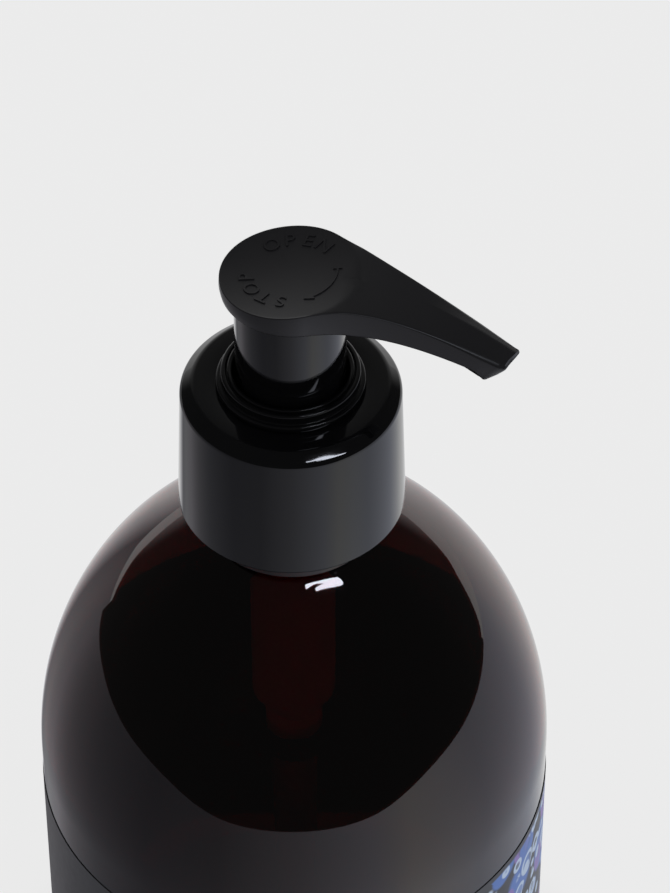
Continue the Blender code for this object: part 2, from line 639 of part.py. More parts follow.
def head_shell(material):
    """Closed solid of the head's disc and nozzle, in head axes with +X along the nozzle."""
    outline = head_outline()
    work = bmesh.new()
    rings = []
    for scale in (0.25, 0.5, 0.75, 0.92, 1.0):
        ring = []
        for along, across in outline:
            spot = (along * scale, across * scale)
            ring.append(work.verts.new((*spot, head_top_height(*spot))))
        rings.append(ring)
    for drop_share, inset in ((0.5, -SIDE_BULGE), (1.0, SIDE_DRAFT), (1.0, SIDE_DRAFT + UNDERSIDE_INSET)):
        ring = []
        for index, (along, across) in enumerate(outline):
            before = Vector(outline[index - 1])
            after = Vector(outline[(index + 1) % len(outline)])
            tangent = (after - before).normalized()
            inward = Vector((-tangent.y, tangent.x))
            tip_share = smooth_step((along - 0.8 * NOZZLE_REACH) / (0.2 * NOZZLE_REACH))
            spot = Vector((along, across)) + inward * inset
            spot.x -= NOZZLE_TIP_SETBACK * drop_share * tip_share
            height = head_edge_height(along) - head_side_depth(along) * drop_share
            ring.append(work.verts.new((spot.x, spot.y, height)))
        rings.append(ring)
    count = len(outline)
    for ring, below in zip(rings, rings[1:]):
        for index in range(count):
            turn = (index + 1) % count
            work.faces.new((ring[index], ring[turn], below[turn], below[index]))
    top = work.verts.new((0.0, 0.0, head_top_height(0.0, 0.0)))
    bottom = work.verts.new((0.0, 0.0, head_edge_height(0.0) - head_side_depth(0.0)))
    for index in range(count):
        turn = (index + 1) % count
        work.faces.new((top, rings[0][turn], rings[0][index]))
        work.faces.new((bottom, rings[-1][index], rings[-1][turn]))
    bmesh.ops.triangulate(work, faces=work.faces)
    return finish_object("pump_head", work, material)


def make_head(material):
    """Pump head: disc, drooping nozzle with its channel, skirt and stem socket."""
    head = head_shell(material)
    skirt_bottom = SKIRT_BOTTOM - HEAD_TOP
    socket_top = SOCKET_TOP - HEAD_TOP
    socket_bore = STEM_RADIUS + SLIDE_GAP
    socket_radius = socket_bore + SOCKET_WALL
    skirt_bore = SKIRT_RADIUS - SKIRT_WALL
    roof = -HEAD_DISH - SKIRT_ROOF
    skirt = turned("head_skirt_solid", [
        (0.0, skirt_bottom), (SKIRT_RADIUS, skirt_bottom), (SKIRT_RADIUS, -HEAD_EDGE_BACK + SKIRT_BURY),
        (0.0, -HEAD_EDGE_BACK + SKIRT_BURY),
    ], None, SMALL_SIDES * 3 // 2)
    hollow = turned("head_skirt_hollow", [
        (socket_radius, socket_top - SOCKET_LENGTH), (socket_radius, roof), (skirt_bore, roof),
        (skirt_bore, skirt_bottom - CUTTER_OVERRUN), (0.0, skirt_bottom - CUTTER_OVERRUN),
        (0.0, socket_top - SOCKET_LENGTH),
    ], None, SMALL_SIDES * 3 // 2)
    bore_bottom = socket_top - SOCKET_LENGTH - CUTTER_OVERRUN
    bore = turned("head_stem_bore", [
        (0.0, bore_bottom), (socket_bore, bore_bottom),
        (socket_bore, socket_top), (0.0, socket_top),
    ], None, SMALL_SIDES)
    channel_points = []
    channel_steps = 10
    for step in range(channel_steps + 1):
        along = (NOZZLE_REACH + 2 * CUTTER_OVERRUN) * step / channel_steps
        middle = head_edge_height(along) - 0.5 * head_side_depth(along)
        share = smooth_step(along / (1.2 * HEAD_RADIUS))
        channel_points.append((along, 0.0, socket_top + (middle - socket_top) * share))
    channel = swept("head_channel", channel_points, [CHANNEL_RADIUS] * len(channel_points), None)
    combine(head, skirt, "UNION")
    for cutter in (hollow, bore, channel):
        combine(head, cutter, "DIFFERENCE")
    axis = bpy.data.objects.new("head_axis", None)
    axis.location = (0.0, 0.0, HEAD_TOP)
    axis.rotation_euler = (0.0, 0.0, math.radians(NOZZLE_AZIMUTH))
    bpy.context.scene.collection.objects.link(axis)
    for obj in (head, skirt, hollow, bore, channel):
        obj.parent = axis
    return head


def build():
    """Builds every piece of the pump bottle."""
    clear_scene()
    amber = make_material("amber_plastic", (0.16, 0.045, 0.02), 0.06, transmission=0.9)
    black = make_material("black_plastic", (0.012, 0.012, 0.013), 0.16)
    satin_black = make_material("satin_black_plastic", (0.018, 0.018, 0.019), 0.34)
    natural = make_material("natural_plastic", (0.82, 0.82, 0.8), 0.35)
    soft = make_material("soft_plastic", (0.9, 0.9, 0.88), 0.5)
    steel = make_material("spring_steel", (0.6, 0.61, 0.62), 0.25, metallic=1.0)
    paper = make_material("label_film", (0.035, 0.038, 0.042), 0.45)
    soap = make_material("liquid_soap", (0.62, 0.45, 0.28), 0.05, transmission=0.8)
    make_bottle(amber)
    make_label(paper)
    make_soap(soap)
    make_closure(black)
    make_gasket(soft)
    make_ring(black)
    make_housing(natural)
    make_guide(natural)
    make_stem(natural)
    make_foot(natural)
    make_piston(soft)
    make_spring(steel)
    make_ball(steel)
    make_tube(natural)
    make_head(satin_black)
    bpy.context.view_layer.update()


build()
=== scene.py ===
"""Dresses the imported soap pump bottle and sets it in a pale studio, seen from 45 degrees above.

Lengths are metres in the model's own axes: +Z is up the bottle's axis, the origin is the centre of
the base, and the camera stands on the -Y side.
"""
from __future__ import annotations

import logging
import math
from collections.abc import Callable, Sequence
from dataclasses import dataclass, field
from enum import Enum
from functools import cached_property

import bmesh
import bpy
from mathutils import Matrix, Vector

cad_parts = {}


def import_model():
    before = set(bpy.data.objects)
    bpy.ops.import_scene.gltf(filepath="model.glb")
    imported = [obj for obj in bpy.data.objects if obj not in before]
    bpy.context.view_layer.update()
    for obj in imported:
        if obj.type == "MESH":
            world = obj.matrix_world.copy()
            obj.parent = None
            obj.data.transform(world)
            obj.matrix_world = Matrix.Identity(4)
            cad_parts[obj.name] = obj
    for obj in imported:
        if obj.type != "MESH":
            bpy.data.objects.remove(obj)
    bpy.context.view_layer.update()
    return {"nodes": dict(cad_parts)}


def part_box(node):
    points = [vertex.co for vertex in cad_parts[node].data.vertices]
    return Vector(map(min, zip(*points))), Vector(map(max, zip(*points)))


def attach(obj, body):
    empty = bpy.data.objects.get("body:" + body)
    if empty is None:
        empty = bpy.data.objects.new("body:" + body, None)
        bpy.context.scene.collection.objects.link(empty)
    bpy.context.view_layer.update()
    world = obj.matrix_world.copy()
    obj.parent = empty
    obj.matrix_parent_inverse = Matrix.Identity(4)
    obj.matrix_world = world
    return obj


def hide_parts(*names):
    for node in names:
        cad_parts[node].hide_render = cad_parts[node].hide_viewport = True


LOG = logging.getLogger("soap_pump_bottle")
MM = 0.001
FINE_SIDES = 192
INNER_SIDES = 96
NOZZLE_AZIMUTH = -17.0
THREAD_PITCH = 4.233 * MM
THREAD_DROP = 2.0 * MM
Point = tuple[float, float]
Triple = tuple[float, float, float]
Socket = bpy.types.NodeSocket
Material = bpy.types.Material
Piece = bpy.types.Object
Mesh = bmesh.types.BMesh
Vert = bmesh.types.BMVert


class Slot(Enum):
    """The record's material slots."""

    AMBER = "amber_plastic"
    BLACK = "black_plastic"
    SATIN = "satin_black_plastic"
    MILKY = "natural_plastic"
    SEAL = "soft_plastic"
    STEEL = "spring_steel"
    FILM = "label_film"
    SOAP = "liquid_soap"


class Body(Enum):
    """The moving bodies that pieces ride on."""

    BOTTLE = "bottle"
    PUMP = "pump"
    CLOSURE = "closure"
    HEAD = "head"


# Shapes


def arc(centre: Point, radius: float, start: float, end: float, steps: int) -> list[Point]:
    """Points along an arc in the (r, z) plane.

    Args:
        centre: Centre of the arc.
        radius: Radius of the arc.
        start: First angle in degrees.
        end: Last angle in degrees.
        steps: Number of equal steps.

    Returns:
        The points, both ends included.
    """
    angles = [math.radians(start + (end - start) * step / steps) for step in range(steps + 1)]
    return [(centre[0] + radius * math.cos(a), centre[1] + radius * math.sin(a)) for a in angles]


def bends(start: Point, *turns: tuple[float, float, float, int]) -> list[Point]:
    """Arcs that run on from one another without a corner, in the (r, z) plane.

    Args:
        start: Where the first arc starts.
        *turns: Each arc as (radius, first angle, last angle, steps).

    Returns:
        The points, both ends included.
    """
    points = [start]
    for radius, first, last, steps in turns:
        lean = math.radians(first)
        centre = (points[-1][0] - radius * math.cos(lean), points[-1][1] - radius * math.sin(lean))
        points += arc(centre, radius, first, last, steps)[1:]
    return points


def soften(corners: Sequence[Triple], steps: int = 5) -> list[Point]:
    """Rounds the corners of a closed outline.

    Args:
        corners: Corners as (r, z, rounding radius), in order.
        steps: Steps on each rounded corner.

    Returns:
        The outline's points as (r, z).
    """
    points: list[Point] = []
    for index, (r, z, rounding) in enumerate(corners):
        here = Vector((r, z))
        back = Vector(corners[index - 1][:2]) - here
        ahead = Vector(corners[(index + 1) % len(corners)][:2]) - here
        if rounding <= 0.0:
            points.append((r, z))
            continue
        half = back.angle(ahead) / 2
        run = min(rounding / math.tan(half), 0.48 * back.length, 0.48 * ahead.length)
        back.normalize()
        ahead.normalize()
        centre = here + (back + ahead).normalized() * (run / math.cos(half))
        first = here + back * run - centre
        last = here + ahead * run - centre
        reach = first.length
        for step in range(steps + 1):
            spot = centre + first.normalized().slerp(last.normalized(), step / steps) * reach
            points.append((spot.x, spot.y))
    return points


def close_mesh(name: str, work: Mesh, sharp: float = 40.0) -> Piece:
    """Turns a bmesh into a smooth-shaded object with its faces outward.

    Args:
        name: Name of the object.
        work: The mesh being built, which is freed.
        sharp: Edges sharper than this many degrees stay crisp.

    Returns:
        The new object, linked to the scene.
    """
    bmesh.ops.recalc_face_normals(work, faces=work.faces)
    mesh = bpy.data.meshes.new(name)
    work.to_mesh(mesh)
    work.free()
    mesh.shade_smooth()
    mesh.set_sharp_from_angle(angle=math.radians(sharp))
    piece = bpy.data.objects.new(name, mesh)
    bpy.context.scene.collection.objects.link(piece)
    return piece


def skin(work: Mesh, rings: Sequence[Sequence[Vert]]) -> None:
    """Joins each closed ring of vertices to the next with a band of faces.

    Args:
        work: The mesh being built.
        rings: The rings, all of one length.
    """
    for ring, after in zip(rings, rings[1:]):
        for index in range(len(ring)):
            turn = (index + 1) % len(ring)
            work.faces.new((ring[index], ring[turn], after[turn], after[index]))


def cap(work: Mesh, rings: Sequence[Sequence[Vert]]) -> None:
    """Skins a row of rings and closes both its ends."""
    skin(work, rings)
    work.faces.new(rings[0])
    work.faces.new(rings[-1])


def add_turned(work: Mesh, outline: Sequence[Point], sides: int) -> None:
    """Adds a closed outline turned about +Z to a mesh.

    Args:
        work: The mesh being built.
        outline: Closed outline as (r, z). A point at r = 0 becomes one vertex.
        sides: Steps around the axis.
    """
    rings: list[list[Vert]] = []
    for radius, height in outline:
        if radius < 1e-7:
            rings.append([work.verts.new((0.0, 0.0, height))])
            continue
        angles = [math.tau * side / sides for side in range(sides)]
        rings.append([work.verts.new((radius * math.cos(a), radius * math.sin(a), height)) for a in angles])
    for index, ring in enumerate(rings):
        after = rings[(index + 1) % len(rings)]
        if len(ring) == 1 and len(after) == 1:
            continue
        for side in range(sides):
            turn = (side + 1) % sides
            if len(ring) == 1:
                work.faces.new((ring[0], after[side], after[turn]))
            elif len(after) == 1:
                work.faces.new((ring[turn], ring[side], after[0]))
            else:
                work.faces.new((ring[side], ring[turn], after[turn], after[side]))


def turned(name: str, outline: Sequence[Point], sides: int = FINE_SIDES) -> Piece:
    """A solid of revolution about +Z.

    Args:
        name: Name of the piece.
        outline: Closed outline as (r, z).
        sides: Steps around the axis.

    Returns:
        The new piece.
    """
    work = bmesh.new()
    add_turned(work, outline, sides)
    return close_mesh(name, work)


@dataclass(frozen=True)
class ThreadRidge:
    """A right-handed helical ridge on a cylindrical wall."""

    root: float
    crest: float
    start: float
    turns: float = 1.5
    pitch: float = THREAD_PITCH
    base: float = 2.0 * MM
    top: float = 1.0 * MM
    steps_per_turn: int = 72
    root_bite: float = 0.3 * MM

    def add(self, work: Mesh) -> None:
        """Adds the ridge to a mesh, faded into the wall at both ends.

        Args:
            work: The mesh being built.
        """
        steps = round(self.turns * self.steps_per_turn)
        fade_steps = self.steps_per_turn / 8
        bury = math.copysign(self.root_bite, self.root - self.crest)
        sections = []
        for step in range(steps + 1):
            angle = math.tau * step / self.steps_per_turn
            height = self.start + self.pitch * step / self.steps_per_turn
            fade = min(1.0, step / fade_steps, (steps - step) / fade_steps)
            crest = self.root + bury / 2 + (self.crest - self.root - bury / 2) * fade
            places = [(self.root + bury, -self.base / 2), (crest, -self.top / 2)]
            places += [(crest, self.top / 2), (self.root + bury, self.base / 2)]
            ring = [(r * math.cos(angle), r * math.sin(angle), height + shift) for r, shift in places]
            sections.append([work.verts.new(place) for place in ring])
        cap(work, sections)


# Finishes


class FinishBoard:
    """One material's node tree, with short calls for adding and joining its nodes."""

    def __init__(self, name: str) -> None:
        """Starts a material that holds a Principled shader.

        Args:
            name: Name of the material.
        """
        self.material = bpy.data.materials.new(name)
        self.material.use_nodes = True
        self.tree = self.material.node_tree
        self.shader = self.tree.nodes["Principled BSDF"]
        self.output = self.tree.nodes["Material Output"]

    def set(self, **values: float | tuple[float, ...]) -> None:
        """Sets constant values on the shader's own sockets, with _ for each space in a name."""
        for key, value in values.items():
            self.shader.inputs[key.replace("_", " ")].default_value = value

    def node(self, kind: str, **settings: object) -> bpy.types.Node:
        """Adds a node and sets its properties.

        Args:
            kind: Node type without its ShaderNode prefix.
            **settings: Properties of the node.

        Returns:
            The new node.
        """
        made = self.tree.nodes.new(f"ShaderNode{kind}")
        for key, value in settings.items():
            setattr(made, key, value)
        return made

    def join(self, source: Socket, target: Socket) -> None:
        """Links an output to an input."""
        self.tree.links.new(source, target)

    def math(self, operation: str, *values: Socket | float) -> Socket:
        """Adds a Math node.

        Args:
            operation: The node's operation.
            *values: Sockets or numbers for its inputs.

        Returns:
            The node's output.
        """
        made = self.node("Math", operation=operation)
        for socket, value in zip(made.inputs, values):
            if isinstance(value, (int, float)):
                socket.default_value = value
            else:
                self.join(value, socket)
        return made.outputs[0]

    def blend(self, share: Socket | float, first: Socket | tuple, second: Socket | tuple) -> Socket:
        """Mixes two colours.

        Args:
            share: How much of the second colour shows.
            first: Colour at share 0.
            second: Colour at share 1.

        Returns:
            The mixed colour.
        """
        made = self.node("Mix", data_type="RGBA")
        for socket, value in zip((made.inputs[0], made.inputs[6], made.inputs[7]), (share, first, second)):
            if isinstance(value, Socket):
                self.join(value, socket)
            elif isinstance(value, tuple):
                socket.default_value = (*value[:3], 1.0)
            else:
                socket.default_value = value
        return made.outputs[2]

    def place(self) -> Socket:
        """The object's own coordinates in metres."""
        return self.node("TexCoord").outputs["Object"]

    def noise(self, scale: float, detail: float = 2.0, stretch: Triple | None = None) -> Socket:
        """Adds a noise pattern in the object's own coordinates.

        Args:
            scale: Cells to the metre.
            detail: Octaves of the noise.
            stretch: Scale along each axis, for drawn or brushed marks.

        Returns:
            The pattern's value from 0 to 1.
        """
        where = self.place()
        if stretch is not None:
            mapping = self.node("Mapping")
            mapping.inputs["Scale"].default_value = stretch
            self.join(where, mapping.inputs["Vector"])
            where = mapping.outputs["Vector"]
        made = self.node("TexNoise")
        made.inputs["Scale"].default_value = scale
        made.inputs["Detail"].default_value = detail
        self.join(where, made.inputs["Vector"])
        return made.outputs[0]

    def span(self, value: Socket, low: float, high: float) -> Socket:
        """Spreads a 0 to 1 pattern over a range.

        Args:
            value: The pattern.
            low: Result at 0.
            high: Result at 1.

        Returns:
            The ranged value.
        """
        return self._ranged(value, "To", low, high, "LINEAR")

    def step(self, value: Socket, low: float, high: float) -> Socket:
        """A smooth 0 to 1 step between two values.

        Args:
            value: What is stepped.
            low: Where the step starts.
            high: Where it ends.

        Returns:
            The step.
        """
        return self._ranged(value, "From", low, high, "SMOOTHSTEP")

    def _ranged(self, value: Socket, side: str, low: float, high: float, kind: str) -> Socket:
        """Adds a Map Range node.

        Args:
            value: What is mapped.
            side: The limits that are set, From or To.
            low: Lower limit.
            high: Upper limit.
            kind: The node's interpolation.

        Returns:
            The mapped value.
        """
        made = self.node("MapRange", interpolation_type=kind)
        made.inputs[f"{side} Min"].default_value = low
        made.inputs[f"{side} Max"].default_value = high
        self.join(value, made.inputs["Value"])
        return made.outputs[0]

    def paint(self, pattern: Socket, first: Triple, second: Triple) -> None:
        """Colours the shader with two tints mixed by a pattern."""
        self.join(self.blend(pattern, first, second), self.shader.inputs["Base Color"])

    def gloss(self, pattern: Socket, low: float, high: float) -> None:
        """Spreads the shader's roughness over a range by a pattern."""
        self.join(self.span(pattern, low, high), self.shader.inputs["Roughness"])

    def surface(self, source: Socket) -> None:
        """Makes a shader the material's surface."""
        self.join(source, self.output.inputs["Surface"])

    def place_axes(self) -> bpy.types.NodeOutputs:
        """The X, Y and Z outputs of the object's own coordinates."""
        parts = self.node("SeparateXYZ")
        self.join(self.place(), parts.inputs[0])
        return parts.outputs

    def relief(self, *heights: tuple[Socket, float]) -> None:
        """Gives the shader bumps.

        Args:
            *heights: Each pattern with its height in metres.
        """
        normal = None
        for height, depth in heights:
            bump = self.node("Bump")
            bump.inputs["Distance"].default_value = depth
            self.join(height, bump.inputs["Height"])
            if normal is not None:
                self.join(normal, bump.inputs["Normal"])
            normal = bump.outputs[0]
        self.join(normal, self.shader.inputs["Normal"])


def shaded(colour: Triple, share: float) -> Triple:
    """A colour scaled lighter or darker."""
    return colour[0] * share, colour[1] * share, colour[2] * share


@dataclass(frozen=True)
class AmberPlastic:
    """Blown amber plastic: clear, dark and glossy, a little uneven in thickness."""

    thin: Triple = (0.12, 0.011, 0.005)
    thick: Triple = (0.10, 0.009, 0.004)

    def material(self) -> Material:
        """Builds the material."""
        board = FinishBoard(Slot.AMBER.value)
        board.set(Transmission_Weight=1.0, IOR=1.57)
        board.paint(board.noise(38.0, 3.0), self.thin, self.thick)
        board.gloss(board.noise(120.0, 4.0), 0.012, 0.03)
        board.relief((board.noise(26.0, 1.0), 0.06 * MM))
        return board.material


@dataclass(frozen=True)
class GlossBlack:
    """Polished moulded black, with faint handling marks."""

    colour: Triple = (0.0017, 0.0017, 0.0020)
    worn: Triple = (0.0027, 0.0027, 0.0031)

    def material(self) -> Material:
        """Builds the material."""
        board = FinishBoard(Slot.BLACK.value)
        board.set(IOR=1.5)
        board.paint(board.noise(90.0, 4.0), self.colour, self.worn)
        board.gloss(board.noise(240.0, 5.0), 0.02, 0.055)
        board.relief((board.noise(70.0, 1.0), 0.012 * MM))
        return board.material


@dataclass(frozen=True)
class SatinBlack:
    """Satin moulded black from a spark-eroded mould."""

    colour: Triple = (0.0105, 0.0102, 0.0115)
    grain_scale: float = 7000.0

    def material(self) -> Material:
        """Builds the material."""
        board = FinishBoard(Slot.SATIN.value)
        board.set(IOR=1.5, Specular_IOR_Level=0.42)
        board.paint(board.noise(160.0, 4.0), self.colour, shaded(self.colour, 1.2))
        board.gloss(board.noise(300.0, 4.0), 0.27, 0.35)
        board.relief((board.noise(self.grain_scale, 2.0), 0.004 * MM), (board.noise(60.0, 1.0), 0.02 * MM))
        return board.material


@dataclass(frozen=True)
class MouldedPale:
    """Uncoloured moulding, milky and slightly see-through at its edges."""

    slot: Slot = Slot.MILKY
    colour: Triple = (0.78, 0.78, 0.75)
    roughness: float = 0.34
    bleed: float = 0.25

    def material(self) -> Material:
        """Builds the material."""
        board = FinishBoard(self.slot.value)
        board.set(Subsurface_Weight=self.bleed, Subsurface_Scale=1.5 * MM, IOR=1.5)
        board.paint(board.noise(220.0, 3.0), self.colour, shaded(self.colour, 0.94))
        board.gloss(board.noise(700.0, 3.0), self.roughness - 0.04, self.roughness + 0.05)
        board.relief((board.noise(1800.0, 2.0), 0.008 * MM))
        return board.material


@dataclass(frozen=True)
class DrawnSteel:
    """Bright drawn wire, with fine marks along the drawing direction."""

    colour: Triple = (0.60, 0.61, 0.62)

    def material(self) -> Material:
        """Builds the material."""
        board = FinishBoard(Slot.STEEL.value)
        board.set(Metallic=1.0)
        marks = board.noise(900.0, 3.0, (1.0, 1.0, 9.0))
        board.paint(marks, self.colour, shaded(self.colour, 0.8))
        board.gloss(marks, 0.18, 0.3)
        board.relief((marks, 0.006 * MM))
        return board.material


@dataclass(frozen=True)
class SoapLiquid:
    """Clear, slightly tinted hand soap."""

    colour: Triple = (0.90, 0.80, 0.62)

    def material(self) -> Material:
        """Builds the material."""
        board = FinishBoard(Slot.SOAP.value)
        board.set(Transmission_Weight=1.0, IOR=1.36, Roughness=0.0)
        board.paint(board.noise(55.0, 3.0), self.colour, shaded(self.colour, 0.9))
        return board.material


@dataclass(frozen=True)
class PrintedFilm:
    """Satin charcoal label film with a plain band of soap bubbles in blue, violet and white."""

    radius: float
    top: float
    middle: float = 49.0 * MM
    wave: float = 26.0 * MM
    fade: Point = (34.0 * MM, 46.0 * MM)
    margin: Point = (1.6 * MM, 0.9 * MM)
    scatter: float = 0.75
    sizes: Point = (0.20, 0.46)
    left_out: float = 0.25
    ground: Triple = (0.034, 0.036, 0.040)
    blue: Triple = (0.10, 0.22, 0.62)
    violet: Triple = (0.30, 0.20, 0.58)
    white: Triple = (0.60, 0.74, 0.95)

    def material(self) -> Material:
        """Builds the material."""
        board = FinishBoard(Slot.FILM.value)
        across, up, centred = self._unrolled(board)
        colour = board.blend(board.noise(500.0, 4.0), self.ground, shaded(self.ground, 1.12))
        area = self._area(board, centred, up)
        layers = (
            (85.0, self.blue, 0.16, 0.85), (120.0, self.violet, 0.12, 0.55), (150.0, self.blue, 0.14, 0.8),
            (190.0, self.white, 0.10, 0.12), (300.0, self.white, 0.14, 0.25),
        )
        for cells, tint, outline, filled in layers:
            mask = self._bubbles(board, across, up, cells, outline, filled)
            colour = board.blend(board.math("MULTIPLY", mask, area), colour, tint)
        board.join(colour, board.shader.inputs["Base Color"])
        board.gloss(board.noise(900.0, 4.0), 0.36, 0.46)
        board.relief((board.noise(2600.0, 3.0), 0.006 * MM), (board.noise(45.0, 1.0), 0.05 * MM))
        return board.material

    def _unrolled(self, board: FinishBoard) -> tuple[Socket, Socket, Socket]:
        """Coordinates on the unrolled label.

        Args:
            board: The material being built.

        Returns:
            Distance around from the front, height, and that distance taken from the print's middle.
        """
        place = board.place_axes()
        angle = board.math("ARCTAN2", place["X"], board.math("MULTIPLY", place["Y"], -1.0))
        across = board.math("MULTIPLY", angle, self.radius)
        return across, place["Z"], board.math("SUBTRACT", across, self.middle)

    def _area(self, board: FinishBoard, centred: Socket, up: Socket) -> Socket:
        """Where the bubbles rise on the label: dense to the right of the front and below.

        Args:
            board: The material being built.
            centred: Distance around from the print's middle.
            up: Height on the label.

        Returns:
            A mask from 0 to 1.
        """
        wave = board.math("MULTIPLY", board.noise(30.0, 2.0), self.wave)
        reach = board.math("ADD", board.math("ABSOLUTE", centred), wave)
        sides = board.math("SUBTRACT", 1.0, board.step(reach, *self.fade))
        limits = (self.top - margin for margin in self.margin)
        head = board.math("SUBTRACT", 1.0, board.step(up, *limits))
        return board.math("MULTIPLY", sides, head)

    def _bubbles(
        self, board: FinishBoard, across: Socket, up: Socket, cells: float, outline: float, filled: float
    ) -> Socket:
        """Rings scattered over the unrolled label.

        Args:
            board: The material being built.
            across: Distance around.
            up: Height.
            cells: Bubbles to the metre.
            outline: Width of a bubble's outline as a share of its cell.
            filled: How strongly its inside is tinted.

        Returns:
            A mask from 0 to 1.
        """
        flat = board.node("CombineXYZ")
        board.join(across, flat.inputs[0])
        board.join(up, flat.inputs[1])
        flat.inputs[2].default_value = 1.0 / cells
        cell = board.node("TexVoronoi", voronoi_dimensions="3D", feature="F1")
        cell.inputs["Scale"].default_value = cells
        cell.inputs["Randomness"].default_value = self.scatter
        board.join(flat.outputs[0], cell.inputs["Vector"])
        split = board.node("SeparateColor")
        board.join(cell.outputs["Color"], split.inputs[0])
        size = board.span(split.outputs[0], *self.sizes)
        edge = board.math("ABSOLUTE", board.math("SUBTRACT", cell.outputs["Distance"], size))
        ring = board.math("SUBTRACT", 1.0, board.step(edge, outline * 0.4, outline))
        inside = board.math("MULTIPLY", board.math("LESS_THAN", cell.outputs["Distance"], size), filled)
        drawn = board.math("MAXIMUM", ring, inside)
        kept = board.math("GREATER_THAN", split.outputs[1], self.left_out)
        return board.math("MULTIPLY", drawn, kept)


@dataclass
class FinishShelf:
    """Every finish of the bottle, made once."""

    film: PrintedFilm
    made: dict[Slot, Material] = field(default_factory=dict)

    def stock(self) -> None:
        """Makes each slot's material."""
        recipes: dict[Slot, Callable[[], Material]] = {
            Slot.AMBER: AmberPlastic().material,
            Slot.BLACK: GlossBlack().material,
            Slot.SATIN: SatinBlack().material,
            Slot.MILKY: MouldedPale().material,
            Slot.SEAL: MouldedPale(Slot.SEAL, (0.86, 0.86, 0.83), 0.46, 0.15).material,
            Slot.STEEL: DrawnSteel().material,
            Slot.FILM: self.film.material,
            Slot.SOAP: SoapLiquid().material,
        }
        for slot, recipe in recipes.items():
            self.made[slot] = recipe()

    def dress(self, piece: Piece, slot: Slot) -> None:
        """Gives a piece its finish.

        Args:
            piece: The piece to dress.
            slot: The slot whose finish it takes.
        """
        if piece.material_slots:
            for place in piece.material_slots:
                place.material = self.made[slot]
        else:
            piece.data.materials.append(self.made[slot])

    def fit(self, piece: Piece, slot: Slot, body: Body, *nodes: str) -> None:
        """Dresses a new piece, lets it ride on its body and puts it in place of CAD nodes.

        Args:
            piece: The new piece.
            slot: The slot whose finish it takes.
            body: The body that it rides on.
            *nodes: The nodes that it stands for.
        """
        self.dress(piece, slot)
        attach(piece, body.value)
        if nodes:
            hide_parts(*nodes)
        LOG.info("%s: %d faces on %s", piece.name, len(piece.data.polygons), body.value)


# Sub-assemblies


